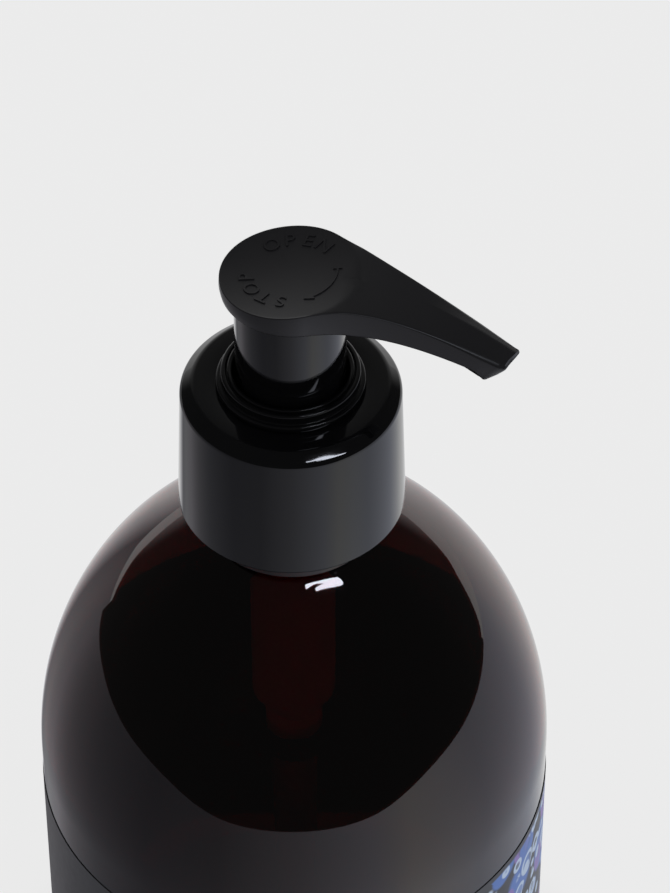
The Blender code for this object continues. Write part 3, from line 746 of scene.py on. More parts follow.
@dataclass
class AmberBottle:
    """The blown bottle with its label and its filling."""

    shelf: FinishShelf
    radius: float = 38.7 * MM
    body_height: float = 106.0 * MM
    shoulder_arc: float = 53.5 * MM
    shoulder_turn: float = 45.0
    crown_arc: float = 100.0 * MM
    wall: float = 0.9 * MM
    corner: float = 6.5 * MM
    ring_outer: float = 32.0 * MM
    ring_inner: float = 29.0 * MM
    push_up: float = 3.2 * MM
    neck: float = 12.55 * MM
    neck_wall: float = 1.65 * MM
    barrel_radius: float = 6.3 * MM
    tail_radius: float = 4.5 * MM
    barrel_foot: float = 108.4 * MM
    tail_top: float = 107.8 * MM
    soap_level: float = 110.5 * MM
    soap_bite: float = 0.12 * MM
    shoulder_steps: int = 64
    heel_steps: int = 14
    lip_round: float = 0.4 * MM
    neck_flare: float = 0.5 * MM
    bore_flare: float = 1.6 * MM
    crest_height: float = 1.15 * MM
    label_thickness: float = 0.09 * MM
    label_gap: float = 0.03 * MM
    label_lap: float = 2.0
    label_steps: int = 360

    def build(self) -> None:
        """Builds and dresses the bottle, the label and the soap."""
        self._shell()
        self._label()
        self._soap()

    def _shoulder(self, inset: float, foot: float, steps: int) -> list[Point]:
        """The shoulder in section, from the widest line up to the neck's foot, flatter near the neck."""
        turn = math.radians(self.shoulder_turn)
        centre = self.radius - self.shoulder_arc + (self.shoulder_arc - self.crown_arc) * math.cos(turn)
        end = math.degrees(math.acos((foot - centre) / (self.crown_arc - inset)))
        lower = (self.shoulder_arc - inset, 0.0, self.shoulder_turn, steps)
        return bends((self.radius - inset, self.body_height), lower,
                     (self.crown_arc - inset, self.shoulder_turn, end, steps // 4))

    def _hollow(self, lift: float) -> list[Point]:
        """The base's hollow from the axis to the standing ring."""
        shares = [step / 12 for step in range(12)]
        return [(self.ring_inner * s, self.push_up * (1.0 - s ** 3) + lift) for s in shares]

    def _shell(self) -> None:
        """Closed shell of the bottle: both walls, the base's hollow and the threaded neck."""
        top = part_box("bottle")[1].z
        corner = (self.radius - self.corner, self.corner)
        outer = self._hollow(0.0) + [(self.ring_inner, 0.0), (self.ring_outer, 0.0)]
        outer += arc(corner, self.corner, -90.0, 0.0, self.heel_steps)
        outer += self._shoulder(0.0, self.neck + self.neck_flare, self.shoulder_steps)
        end = outer[-1][1]
        outer += [(self.neck + 0.12 * MM, end + 0.25 * MM), (self.neck, end + 0.7 * MM)]
        lip = self.lip_round
        outer += arc((self.neck - lip, top - lip), lip, 0.0, 90.0, 4)
        bore = self.neck - self.neck_wall
        inner = arc((bore + lip, top - lip), lip, 90.0, 180.0, 4)
        inner += [(bore, end + 1.8 * MM), (bore + 0.5 * MM, end + 0.9 * MM)]
        inner += self._shoulder(self.wall, bore + self.bore_flare, self.shoulder_steps)[::-1]
        inner += arc(corner, self.corner - self.wall, 0.0, -90.0, self.heel_steps)
        inner += self._hollow(self.wall)[::-1]
        work = bmesh.new()
        add_turned(work, outer + inner, FINE_SIDES)
        crest = self.neck + self.crest_height
        ThreadRidge(self.neck, crest, top - THREAD_DROP - 1.5 * THREAD_PITCH).add(work)
        self.shelf.fit(close_mesh("bottle_shell", work), Slot.AMBER, Body.BOTTLE, "bottle")

    def _label(self) -> None:
        """Label sheet wrapped round the wall, its ends lapped at the back."""
        low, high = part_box("label")
        inner = self.radius + self.label_gap
        lap = self.label_lap
        columns: list[list[Vert]] = []
        work = bmesh.new()
        for step in range(self.label_steps + 1):
            turn = (360.0 + lap) * step / self.label_steps
            angle = math.radians(90.0 + turn)
            rise = 0.02 * MM * min(max((turn - 358.0 + lap) / lap, 0.0), 1.0)
            near = inner + rise * 0.5
            far = near + self.label_thickness - 0.01 * MM
            places = [(near, low.z), (far, low.z), (far, high.z), (near, high.z)]
            column = [(r * math.cos(angle), r * math.sin(angle), z) for r, z in places]
            columns.append([work.verts.new(place) for place in column])
        cap(work, columns)
        self.shelf.fit(close_mesh("label_sheet", work), Slot.FILM, Body.BOTTLE, "label")

    def _soap(self) -> None:
        """The filling, which bites a little into the walls so that light passes from one to the other."""
        inset = self.wall - self.soap_bite
        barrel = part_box("pump_housing")
        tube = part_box("dip_tube")
        tube_bore = (tube[1].x - tube[0].x) / 2 - self.soap_bite
        tail_bore = self.tail_radius - self.soap_bite
        barrel_bore = self.barrel_radius - self.soap_bite
        corner = (self.radius - self.corner, self.corner)
        outline = self._hollow(inset)
        outline += arc(corner, self.corner - inset, -90.0, 0.0, self.heel_steps)
        reach = self.shoulder_arc - inset
        climb = math.degrees(math.asin((self.soap_level - self.body_height) / reach))
        outline += arc((self.radius - self.shoulder_arc, self.body_height), reach, 0.0, climb, 8)
        edge = outline[-1][0]
        low = self.soap_level - 1.1 * MM
        outline += [(edge - 0.5 * MM, self.soap_level - 0.7 * MM), (edge - 1.6 * MM, low)]
        outline += [(barrel_bore + 1.4 * MM, low), (barrel_bore, self.soap_level - 0.4 * MM)]
        tail_foot = barrel[0].z + self.soap_bite
        outline += [(barrel_bore, self.barrel_foot), (tail_bore, self.tail_top), (tail_bore, tail_foot)]
        outline += [(tube_bore, tail_foot), (tube_bore, tube[0].z + self.soap_bite)]
        outline += [(0.0, tube[0].z + self.soap_bite)]
        self.shelf.fit(turned("soap_filling", outline), Slot.SOAP, Body.BOTTLE, "liquid_soap")


@dataclass
class ScrewClosure:
    """The smooth screw cap."""

    shelf: FinishShelf
    radius: float = 16.5 * MM
    draft: float = 0.65 * MM
    edge: float = 1.2 * MM
    bevel: float = 60.0 * MM
    bevel_from: float = 51.4
    bevel_to: float = 52.6
    hem: float = 0.3 * MM
    bore: float = 14.05 * MM
    top_wall: float = 1.7 * MM
    hole: float = 9.9 * MM
    thread_crest: float = 13.0 * MM

    def build(self) -> None:
        """Builds and dresses the cap, threaded inside."""
        low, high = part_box("closure")
        crown = self._crown(high.z)
        hem = low.z + self.hem
        roof = high.z - self.top_wall
        corners = [(self.bore, hem, 0.25 * MM), (self.radius, hem, 0.35 * MM)]
        corners += [(r, z, 0.0) for r, z in crown]
        corners += [(self.hole, high.z, 0.3 * MM), (self.hole, roof, 0.2 * MM), (self.bore, roof, 0.4 * MM)]
        work = bmesh.new()
        add_turned(work, soften(corners, 8), FINE_SIDES)
        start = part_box("bottle")[1].z - THREAD_DROP - 2.0 * THREAD_PITCH
        ThreadRidge(self.bore, self.thread_crest, start, base=1.6 * MM, top=0.8 * MM).add(work)
        self.shelf.fit(close_mesh("screw_cap", work), Slot.BLACK, Body.CLOSURE, "closure")

    def _crown(self, top: float) -> list[Point]:
        """The cap's top edge in section: a small round, a nearly flat bevel and a small round again.

        Args:
            top: Height of the cap's top.

        Returns:
            Points from the wall to the top.
        """
        turns = ((self.edge, 0.0, self.bevel_from, 10), (self.bevel, self.bevel_from, self.bevel_to, 6),
                 (self.edge, self.bevel_to, 90.0, 8))
        points = bends((self.radius - self.draft, top), *turns)
        over = points[-1][1] - top
        return [(r, z - over) for r, z in points]


@dataclass
class LockingRing:
    """The stepped ring in the cap's top, whose tube guides the head's skirt."""

    shelf: FinishShelf
    bore: float = 8.3 * MM
    tube: float = 9.3 * MM
    base: float = 10.65 * MM
    rim: float = 9.95 * MM
    lip: float = 9.0 * MM
    groove: float = 0.35 * MM

    def build(self) -> None:
        """Builds and dresses the ring."""
        low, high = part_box("locking_ring")
        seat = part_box("closure")[1].z + 0.25 * MM
        base_top = seat + 0.9 * MM
        rim_top = high.z - 0.25 * MM
        floor = rim_top - self.groove
        corners = [
            (self.bore, low.z, 0.1 * MM), (self.tube, low.z, 0.35 * MM), (self.tube, seat, 0.1 * MM),
            (self.base, seat, 0.12 * MM), (self.base, base_top, 0.35 * MM), (self.rim, base_top, 0.15 * MM),
            (self.rim, rim_top, 0.4 * MM), (self.lip + 0.3 * MM, rim_top, 0.15 * MM),
            (self.lip + 0.15 * MM, floor, 0.08 * MM), (self.lip, floor, 0.08 * MM),
            (self.lip, high.z, 0.22 * MM), (self.bore, high.z - 0.1 * MM, 0.3 * MM),
        ]
        self.shelf.fit(turned("stepped_ring", soften(corners, 6)), Slot.BLACK, Body.PUMP, "locking_ring")


@dataclass
class HeadForm:
    """Plan and heights of the pump head, with +X along the nozzle and heights from its top plane."""

    radius: float = 9.85 * MM
    taper_start: float = 62.0
    reach: float = 32.8 * MM
    tip_half_width: float = 2.55 * MM
    tip_skew: float = 0.95 * MM
    droop: float = 7.9 * MM
    rise: float = 1.35 * MM
    tip_setback: float = 3.2 * MM
    ridge: float = 0.4 * MM
    ridge_side: float = 0.4
    dish: float = 0.7 * MM
    edge_back: float = 2.3 * MM
    edge_root: float = 4.4 * MM
    edge_tip: float = 2.94 * MM
    draft: float = 0.12 * MM
    bulge: float = 0.04 * MM
    rounding_disc: float = 0.16 * MM
    rounding_tip: float = 0.55 * MM
    tip_corner: float = 0.7 * MM
    lead: float = 0.26
    trail: float = 0.51
    trail_lean: float = 0.095
    peak: float = 0.85
    droop_power: float = 1.45
    side_steps: int = 60
    sharp: float = 32.0

    @staticmethod
    def ease(value: float) -> float:
        """Eases a value from 0 to 1."""
        value = min(max(value, 0.0), 1.0)
        return value * value * (3.0 - 2.0 * value)

    def outline(self) -> list[Point]:
        """The plan, anticlockwise from the middle of the tip.

        Returns:
            Points as (along, across).
        """
        start = math.radians(self.taper_start)
        first = Vector((self.radius * math.cos(start), self.radius * math.sin(start)))
        last = Vector((self.reach, self.tip_half_width))
        run = last.x - first.x
        lead = first + Vector((math.sin(start), -math.cos(start))) * run * self.lead
        trail = last + Vector((-1.0, self.trail_lean)) * run * self.trail
        side = []
        for step in range(self.side_steps + 1):
            t = step / self.side_steps
            spot = first * (1 - t) ** 3 + lead * (3 * t * (1 - t) ** 2)
            spot += trail * (3 * t * t * (1 - t)) + last * t ** 3
            side.append((spot.x, spot.y))
        corner = self.tip_corner
        tip = [(self.reach, (self.tip_half_width - corner) * step / 6) for step in range(6)]
        tip += arc((self.reach - corner, self.tip_half_width - corner), corner, 0.0, 80.0, 5)
        side = [spot for spot in side if spot[0] < self.reach - corner]
        back = arc((0.0, 0.0), self.radius, self.taper_start, 180.0, 56)[1:]
        half = tip + side[::-1] + back
        plan = half + [(along, -across) for along, across in half[-2:0:-1]]
        return [(along - self.skew(along, across), across) for along, across in plan]

    def skew(self, along: float, across: float) -> float:
        """How far the tip's end is set back towards the nozzle's front side."""
        share = (self.tip_half_width - across) / (2 * self.tip_half_width)
        return self.tip_skew * min(share, 1.0) * self.ease((along - 0.85 * self.reach) / (0.15 * self.reach))

    @cached_property
    def widths(self) -> list[Point]:
        """The plan's far side, sorted along the nozzle."""
        return sorted(spot for spot in self.outline() if spot[1] >= 0.0)

    def half_width(self, along: float) -> float:
        """Half the plan's width.

        Args:
            along: Distance along the nozzle.

        Returns:
            The half-width there.
        """
        best = self.tip_half_width
        for low, high in zip(self.widths, self.widths[1:]):
            if low[0] <= along <= high[0] and high[0] > low[0]:
                share = (along - low[0]) / (high[0] - low[0])
                best = max(best, low[1] + (high[1] - low[1]) * share)
        return best

    def edge_height(self, along: float) -> float:
        """Height of the top edge: a gentle rise into the saddle, then the nozzle's droop.

        Args:
            along: Distance along the nozzle.

        Returns:
            The height there.
        """
        peak = self.peak * self.radius
        if along < peak:
            return self.rise * self.ease((along + self.radius) / (peak + self.radius))
        share = (along - peak) / (self.reach - peak)
        return self.rise - (self.droop + self.rise) * share ** self.droop_power

    def top_height(self, along: float, across: float) -> float:
        """Height of the top face: dished over the disc and ridged along the nozzle.

        Args:
            along: Distance along the nozzle.
            across: Distance from its middle.

        Returns:
            The height there.
        """
        reach = min(math.hypot(along, across) / self.radius, 1.0)
        hollow = self.dish * (1.0 - reach * reach)
        share = self.ease((along - 1.8 * self.radius) / self.radius)
        width = max(self.half_width(along), abs(across), 1e-6)
        crest = self.ridge_side * width
        slope = (width - across) / (width - crest) if across > crest else (width + across) / (width + crest)
        return self.edge_height(along) - hollow + self.ridge * share * slope

    def rounding(self, along: float) -> float:
        """Radius of the top edge's rounding, small round the disc and larger at the tip."""
        share = self.ease((along - 1.5 * self.radius) / (self.reach - 1.7 * self.radius))
        end = self.ease((along - self.reach + 0.7 * MM) / (0.5 * MM))
        return (self.rounding_disc + (self.rounding_tip - self.rounding_disc) * share) * (1.0 - 0.5 * end)

    def side_depth(self, along: float) -> float:
        """Depth of the side wall.

        Args:
            along: Distance along the nozzle.

        Returns:
            The depth there.
        """
        root = 1.1 * self.radius
        if along < root:
            share = self.ease((along + self.radius) / (root + self.radius))
            return self.edge_back + (self.edge_root - self.edge_back) * share
        return self.edge_root + (self.edge_tip - self.edge_root) * (along - root) / (self.reach - root)


@dataclass
class PumpHead:
    """The head: a dished disc that runs out into a drooping nozzle, its skirt and its moulded marks."""

    shelf: FinishShelf
    form: HeadForm = field(default_factory=HeadForm)
    top: float = 200.1 * MM
    skirt_radius: float = 7.9 * MM
    skirt_wall: float = 0.95 * MM
    letter_height: float = 2.25 * MM
    letter_circle: float = 6.3 * MM
    letter_pitch: float = 23.5
    relief: float = 0.15 * MM
    marks_at: Point = (0.16 * MM, 0.67 * MM)
    arrow_from: float = -3.0
    arrow_to: float = -64.0
    arrow_half: float = 0.12 * MM
    barb: float = 0.65 * MM
    barb_turn: float = 12.0
    mark_root: float = 0.06 * MM
    outlet: Point = (1.15 * MM, 0.95 * MM)
    outlet_level: float = 0.56
    sole_round: float = 0.2 * MM
    sole_rim: float = 1.2 * MM
    socket: Point = (2.95 * MM, 4.15 * MM)
    socket_foot: float = -13.9 * MM

    def build(self) -> None:
        """Builds and dresses the head and its marks."""
        head = self._shell()
        self._bore(head)
        self._seat(head, Slot.SATIN, "pump_head")
        self._seat(self._skirt(), Slot.BLACK)
        for letters, middle in (("OPEN", 81.0), ("STOP", 220.0)):
            mark = self._word(letters, middle)
            mark.name = f"mark_{letters.lower()}"
            self._seat(mark, Slot.SATIN)
        self._seat(self._arrow(), Slot.SATIN)

    def _seat(self, piece: Piece, slot: Slot, *nodes: str) -> None:
        """Moves a mesh from the head's own axes to the bottle's and dresses it.

        Args:
            piece: The piece, still in the head's own axes.
            slot: The slot whose finish it takes.
            *nodes: The nodes that it stands for.
        """
        turn = Matrix.Rotation(math.radians(NOZZLE_AZIMUTH), 4, "Z")
        piece.data.transform(Matrix.Translation((0.0, 0.0, self.top)) @ turn)
        self.shelf.fit(piece, slot, Body.HEAD, *nodes)

    def _inset(self, outline: Sequence[Point], index: int, distance: float) -> Vector:
        """A point of the plan moved inward.

        Args:
            outline: The plan's points.
            index: Which point.
            distance: How far inward.

        Returns:
            The moved point.
        """
        before = Vector(outline[index - 1])
        after = Vector(outline[(index + 1) % len(outline)])
        tangent = (after - before).normalized()
        return Vector(outline[index]) + Vector((-tangent.y, tangent.x)) * distance

    def _shell(self) -> Piece:
        """Disc and nozzle, with rounded edges.

        Returns:
            The piece in the head's own axes.
        """
        form = self.form
        plan = form.outline()
        work = bmesh.new()
        rings = []
        rims = [self._inset(plan, index, form.rounding(along)) for index, (along, _) in enumerate(plan)]
        for step in range(1, 37):
            spots = [rim * (step / 36) for rim in rims]
            rings.append([work.verts.new((s.x, s.y, form.top_height(s.x, s.y))) for s in spots])
        for angle in (18.0, 36.0, 54.0, 72.0, 90.0):
            rings.append(self._edge_ring(work, plan, math.radians(angle)))
        for share in (0.25, 0.5, 0.75, 0.9):
            rings.append(self._side_ring(work, plan, self._lean(share), share))
        for angle in (30.0, 60.0, 90.0):
            lean = math.radians(angle)
            inset = form.draft + self.sole_round * (1.0 - math.cos(lean))
            rings.append(self._side_ring(work, plan, inset, 0.9 + 0.1 * math.sin(lean)))
        rings.append(self._side_ring(work, plan, form.draft + self.sole_rim, 1.0))
        last = rings[-1]
        for tenths in range(9, 0, -1):
            scale = tenths / 10
            ring = []
            for vert, (along, _) in zip(last, plan):
                height = form.edge_height(along * scale) - form.side_depth(along * scale)
                ring.append(work.verts.new((vert.co.x * scale, vert.co.y * scale, height)))
            rings.append(ring)
        skin(work, rings)
        crown = work.verts.new((0.0, 0.0, form.top_height(0.0, 0.0)))
        sole = work.verts.new((0.0, 0.0, form.edge_height(0.0) - form.side_depth(0.0)))
        for index in range(len(plan)):
            turn = (index + 1) % len(plan)
            work.faces.new((crown, rings[0][turn], rings[0][index]))
            work.faces.new((sole, rings[-1][index], rings[-1][turn]))
        return close_mesh("head_disc_and_nozzle", work, form.sharp)

    def _lean(self, share: float) -> float:
        """How far the side wall stands inside the plan at a share of its depth."""
        if share <= 0.5:
            return -self.form.bulge * share / 0.5
        return -self.form.bulge + (self.form.draft + self.form.bulge) * (share - 0.5) / 0.4

    def _edge_ring(self, work: Mesh, plan: Sequence[Point], lean: float) -> list[Vert]:
        """One ring of the top edge's rounding.

        Args:
            work: The mesh being built.
            plan: The plan's points.
            lean: Angle of the rounding there, from 0 on the top face to a quarter turn on the side.

        Returns:
            The ring's vertices.
        """
        form = self.form
        ring = []
        for index, (along, _) in enumerate(plan):
            rounding = form.rounding(along)
            spot = self._inset(plan, index, rounding * (1.0 - math.sin(lean)))
            down = rounding * (1.0 - math.cos(lean))
            ring.append(self._set_back(work, spot, along, down))
        return ring

    def _side_ring(self, work: Mesh, plan: Sequence[Point], inset: float, share: float) -> list[Vert]:
        """One ring of the side wall.

        Args:
            work: The mesh being built.
            plan: The plan's points.
            inset: How far inside the plan.
            share: Share of the side wall's depth.

        Returns:
            The ring's vertices.
        """
        ring = []
        for index, (along, _) in enumerate(plan):
            spot = self._inset(plan, index, inset)
            ring.append(self._set_back(work, spot, along, self.form.side_depth(along) * share))
        return ring

    def _set_back(self, work: Mesh, spot: Vector, along: float, down: float) -> Vert:
        """A vertex under the top edge, set back towards the disc where the tip's end slants.

        Args:
            work: The mesh being built.
            spot: Its place in plan.
            along: Distance along the nozzle of the plan's point.
            down: Distance below the top edge.

        Returns:
            The vertex.
        """
        form = self.form
        share = down / form.side_depth(along)
        spot.x -= form.tip_setback * share * form.ease((along - 0.8 * form.reach) / (0.2 * form.reach))
        return work.verts.new((spot.x, spot.y, form.edge_height(along) - down))

    def _bore(self, head: Piece) -> None:
        """Cuts the outlet into the nozzle's tip.

        Args:
            head: The head's shell, still in its own axes.
        """
        form = self.form
        work = bmesh.new()
        rings = []
        circle = arc((0.0, 0.0), 1.0, 0.0, 360.0, 32)
        oval = [(self.outlet[0] * across, self.outlet[1] * up) for across, up in circle]
        for offset in (-12.0 * MM, -6.0 * MM, -1.5 * MM, 2.0 * MM):
            along = form.reach + offset
            middle = form.edge_height(along) - self.outlet_level * form.side_depth(along)
            rings.append([work.verts.new((along, across, middle + up)) for across, up in oval[:-1]])
        cap(work, rings)
        drill = close_mesh("outlet_drill", work)
        cut = head.modifiers.new("outlet", "BOOLEAN")
        cut.operation = "DIFFERENCE"
        cut.solver = "EXACT"
        cut.object = drill
        bpy.context.view_layer.update()
        shaped = bpy.data.meshes.new_from_object(head.evaluated_get(bpy.context.evaluated_depsgraph_get()))
        head.modifiers.clear()
        head.data = shaped
        shaped.shade_smooth()
        shaped.set_sharp_from_angle(angle=math.radians(form.sharp))
        bpy.data.objects.remove(drill, do_unlink=True)

    def _skirt(self) -> Piece:
        """Skirt and stem socket under the disc.

        Returns:
            The piece in the head's own axes.
        """
        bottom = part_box("pump_head")[0].z - self.top
        roof = -self.form.edge_back + 0.5 * MM
        inner = self.skirt_radius - self.skirt_wall
        outer, bore, foot = self.socket[1], self.socket[0], self.socket_foot
        wall = ((self.skirt_radius, bottom, 0.3 * MM), (self.skirt_radius, roof, 0.0), (inner, roof, 0.0),
                (inner, bottom, 0.2 * MM))
        socket = ((bore, foot, 0.3 * MM), (outer, foot, 0.2 * MM), (outer, roof, 0.0), (bore, roof, 0.0))
        work = bmesh.new()
        add_turned(work, soften(wall, 4), FINE_SIDES)
        add_turned(work, soften(socket, 3), INNER_SIDES)
        return close_mesh("head_skirt", work)

    def _lay_on_top(self, work: Mesh, height: float) -> None:
        """Lays a flat mark onto the dished top face and gives it its raised thickness.

        Args:
            work: Flat mesh of the mark in the head's own axes.
            height: How proud of the face it stands.
        """
        made = bmesh.ops.extrude_face_region(work, geom=list(work.faces))
        lifted = {part for part in made["geom"] if isinstance(part, Vert)}
        for vert in work.verts:
            vert.co.x += self.marks_at[0]
            vert.co.y += self.marks_at[1]
            level = self.form.top_height(vert.co.x, vert.co.y)
            vert.co.z = level + (height if vert in lifted else -self.mark_root)

    def _word(self, letters: str, middle: float) -> Piece:
        """A word moulded around the disc, with its letters' tops outward.

        Args:
            letters: A plain operating word.
            middle: Bearing of its middle in degrees about +Z, in the bottle's axes.

        Returns:
            The piece in the head's own axes.
        """
        work = bmesh.new()
        for index, letter in enumerate(letters):
            bearing = middle - NOZZLE_AZIMUTH - self.letter_pitch * (index - (len(letters) - 1) / 2)
            curve = bpy.data.curves.new("letter", "FONT")
            curve.body = letter
            curve.size = self.letter_height * 1.42
            curve.align_x = "CENTER"
            curve.align_y = "CENTER"
            curve.resolution_u = 4
            holder = bpy.data.objects.new("letter", curve)
            flat = bpy.data.meshes.new_from_object(holder)
            turn = Matrix.Rotation(math.radians(bearing - 90.0), 4, "Z")
            flat.transform(turn @ Matrix.Translation((0.0, self.letter_circle, 0.0)))
            work.from_mesh(flat)
            bpy.data.objects.remove(holder, do_unlink=True)
            bpy.data.curves.remove(curve)
            bpy.data.meshes.remove(flat)
        bmesh.ops.remove_doubles(work, verts=work.verts, dist=0.005 * MM)
        self._lay_on_top(work, self.relief)
        return close_mesh("moulded_word", work, 30.0)

    def _arrow(self) -> Piece:
        """Double-headed turning arrow between the two words.

        Returns:
            The piece in the head's own axes.
        """
        work = bmesh.new()
        start = self.arrow_from - NOZZLE_AZIMUTH
        end = self.arrow_to - NOZZLE_AZIMUTH
        circle = self.letter_circle
        radii = (circle - self.arrow_half, circle + self.arrow_half)
        sides = [arc((0.0, 0.0), radius, start, end, 24) for radius in radii]
        rows = [[work.verts.new((*spot, 0.0)) for spot in pair] for pair in zip(*sides)]
        for row, after in zip(rows, rows[1:]):
            work.faces.new((row[0], row[1], after[1], after[0]))
        for bearing, way in ((start, 1.0), (end, -1.0)):
            tip = math.radians(bearing + way * self.barb_turn)
            root = math.radians(bearing)
            spots = [(circle * math.cos(tip), circle * math.sin(tip), 0.0)]
            for radius in (circle - self.barb, circle + self.barb):
                spots.append((radius * math.cos(root), radius * math.sin(root), 0.0))
            work.faces.new([work.verts.new(spot) for spot in spots])
        self._lay_on_top(work, self.relief)
        return close_mesh("turning_arrow", work, 30.0)


@dataclass
class PumpInsides:
    """The pump's inner pieces, which keep their CAD shapes."""

    shelf: FinishShelf

    def build(self, nodes: dict[str, Piece]) -> None:
        """Dresses every carried-over node.

        Args:
            nodes: The frame's nodes by name.
        """
        finishes = {
            "pump_housing": Slot.MILKY, "stem_guide": Slot.MILKY, "stem": Slot.MILKY,
            "stem_foot": Slot.MILKY, "dip_tube": Slot.MILKY, "piston": Slot.SEAL,
            "neck_gasket": Slot.SEAL, "return_spring": Slot.STEEL, "inlet_ball": Slot.STEEL,
        }
        for name, slot in finishes.items():
            self.shelf.dress(nodes[name], slot)
            LOG.info("%s: %s", name, slot.value)


# Studio


@dataclass
class Studio:
    """Pale floor and surroundings, dark walls for mirrored and refracted rays, lamp and camera."""

    pale: float = 0.83
    table_glow: float = 0.88
    table_share: float = 0.88
    # Radii over which the floor's glow fades in: painted shade close round the bottle, where only the lit
    # floor and its real shadow show.
    painted_shadow_edge: Point = (0.036, 0.075)
    floor_drop: float = 0.05 * MM
    fill: float = 0.55
    floor_radius: float = 1.25
    card_from: float = 0.05
    # Painted shade by bearing, as a tint for what mirrors the table: darkest at the front left, cooler to
    # the right.
    card_shades: tuple[tuple[float, Triple], ...] = (
        (-180.0, (0.80, 0.80, 0.82)), (-158.0, (1.0, 1.0, 1.0)), (-150.0, (0.75, 0.75, 0.78)),
        (-142.0, (0.27, 0.27, 0.29)), (-132.0, (0.42, 0.42, 0.44)), (-120.0, (0.49, 0.47, 0.51)),
        (-105.0, (0.35, 0.34, 0.37)), (-88.0, (0.26, 0.26, 0.29)), (-60.0, (0.20, 0.20, 0.23)),
        (-30.0, (0.25, 0.25, 0.28)), (0.0, (0.47, 0.47, 0.52)), (30.0, (0.78, 0.80, 0.90)),
        (46.0, (1.0, 1.0, 1.0)), (62.0, (0.92, 0.94, 1.0)), (80.0, (0.74, 0.77, 0.88)),
        (115.0, (0.74, 0.77, 0.88)), (140.0, (1.0, 1.0, 1.0)), (180.0, (0.80, 0.80, 0.82)),
    )
    front_foot: float = 0.63
    left_foot: float = 0.40
    back_glow: float = 0.60
    wall_from: float = -122.0
    wall_to: float = 112.0
    wall_top: float = 1.6
    wall_columns: int = 120
    card_columns: int = 72
    lamp_left: Point = (17.0, 55.6)
    lamp_right: Point = (61.0, 47.1)
    lamp_far: float = 1.05
    lamp_over: float = 0.15
    lamp_tint: Triple = (0.84, 0.88, 1.0)
    lamp_strength: float = 18.0
    lamp_half: float = 0.028
    lamp_widest: float = -0.15
    lamp_steps: int = 40
    lower_from: float = 0.23
    foot_front: Point = (54.0, 4.8)
    foot_left: Point = (122.0, 18.0)
    right_openings: tuple[Point, Point] = ((112.0, 16.0), (140.0, 40.0))
    left_openings: tuple[Point, Point] = ((120.0, 26.0), (140.0, 40.0))
    opening_heights: Triple = (0.02, 0.12, 0.45)
    glow_heights: Point = (0.25, 1.5)
    glow_depths: Point = (0.8, 1.1)
    wall_glow: float = 0.045
    # Painted light: glow of the dark walls for rays after a diffuse bounce, which lights the pump pieces
    # inside the bottle.
    inner_painted_light: float = 1.5
    look_height: float = 0.1666
    aim_right: float = 0.00625
    distance: float = 0.6322
    elevation: float = 45.0
    lens: float = 177.4

    def build(self) -> None:
        """Sets up the whole studio."""
        self._world()
        self._floor()
        self._dark_walls()
        self._shade_card()
        self._lamp()
        self._camera()

    @staticmethod
    def _seen(tree: bpy.types.NodeTree) -> Socket:
        """One for camera, glossy and transmission rays, and nought for the rest.

        Args:
            tree: The node tree to add to.

        Returns:
            The mask.
        """
        path = tree.nodes.new("ShaderNodeLightPath")
        mask = path.outputs["Is Camera Ray"]
        for kind in ("Glossy", "Transmission"):
            higher = tree.nodes.new("ShaderNodeMath")
            higher.operation = "MAXIMUM"
            tree.links.new(mask, higher.inputs[0])
            tree.links.new(path.outputs[f"Is {kind} Ray"], higher.inputs[1])
            mask = higher.outputs[0]
        return mask

    def _world(self) -> None:
        """Pale surroundings to look at, and a softer even light for the object."""
        world = bpy.data.worlds.new("studio")
        bpy.context.scene.world = world
        world.use_nodes = True
        world.cycles.sampling_method = "NONE"
        tree = world.node_tree
        tree.nodes.clear()
        out = tree.nodes.new("ShaderNodeOutputWorld")
        mix = tree.nodes.new("ShaderNodeMixShader")
        tree.links.new(self._seen(tree), mix.inputs[0])
        for place, level in ((1, self.fill), (2, self.pale)):
            light = tree.nodes.new("ShaderNodeBackground")
            light.inputs["Color"].default_value = (level, level, level, 1.0)
            tree.links.new(light.outputs[0], mix.inputs[place])
        tree.links.new(mix.outputs[0], out.inputs["Surface"])

    def _floor(self) -> None:
        """Round pale table top that keeps the bottle's soft shadow, with its glow faded out close round the
        bottle as painted shade.
        """
        work = bmesh.new()
        bmesh.ops.create_circle(work, cap_ends=True, segments=128, radius=self.floor_radius)
        floor = close_mesh("studio_floor", work)
        floor.location.z = -self.floor_drop
        board = FinishBoard("studio_floor")
        board.set(Base_Color=(self.pale, self.pale, self.pale, 1.0), Roughness=1.0, Specular_IOR_Level=0.0)
        glow = board.node("Emission")
        glow.inputs["Color"].default_value = (self.table_glow, self.table_glow, self.table_glow, 1.0)
        mix = board.node("MixShader")
        place = board.place_axes()
        squares = [board.math("POWER", board.math("ABSOLUTE", place[axis]), 2.0) for axis in ("X", "Y")]
        away = board.math("SQRT", board.math("ADD", *squares))
        # The glow is cut close round the bottle: painted shade under it.
        glow_past_painted_shadow = board.math("MULTIPLY", board.step(away, *self.painted_shadow_edge), self.table_share)
        board.join(board.math("MULTIPLY", self._seen(board.tree), glow_past_painted_shadow), mix.inputs[0])
        board.join(board.shader.outputs[0], mix.inputs[1])
        board.join(glow.outputs[0], mix.inputs[2])
        below = board.node("NewGeometry")
        clear = board.node("BsdfTransparent")
        final = board.node("MixShader")
        board.join(below.outputs["Backfacing"], final.inputs[0])
        board.join(mix.outputs[0], final.inputs[1])
        board.join(clear.outputs[0], final.inputs[2])
        board.surface(final.outputs[0])
        board.material.cycles.emission_sampling = "NONE"
        floor.data.materials.append(board.material)
        LOG.info("studio_floor: %.2f m across", 2 * self.floor_radius)

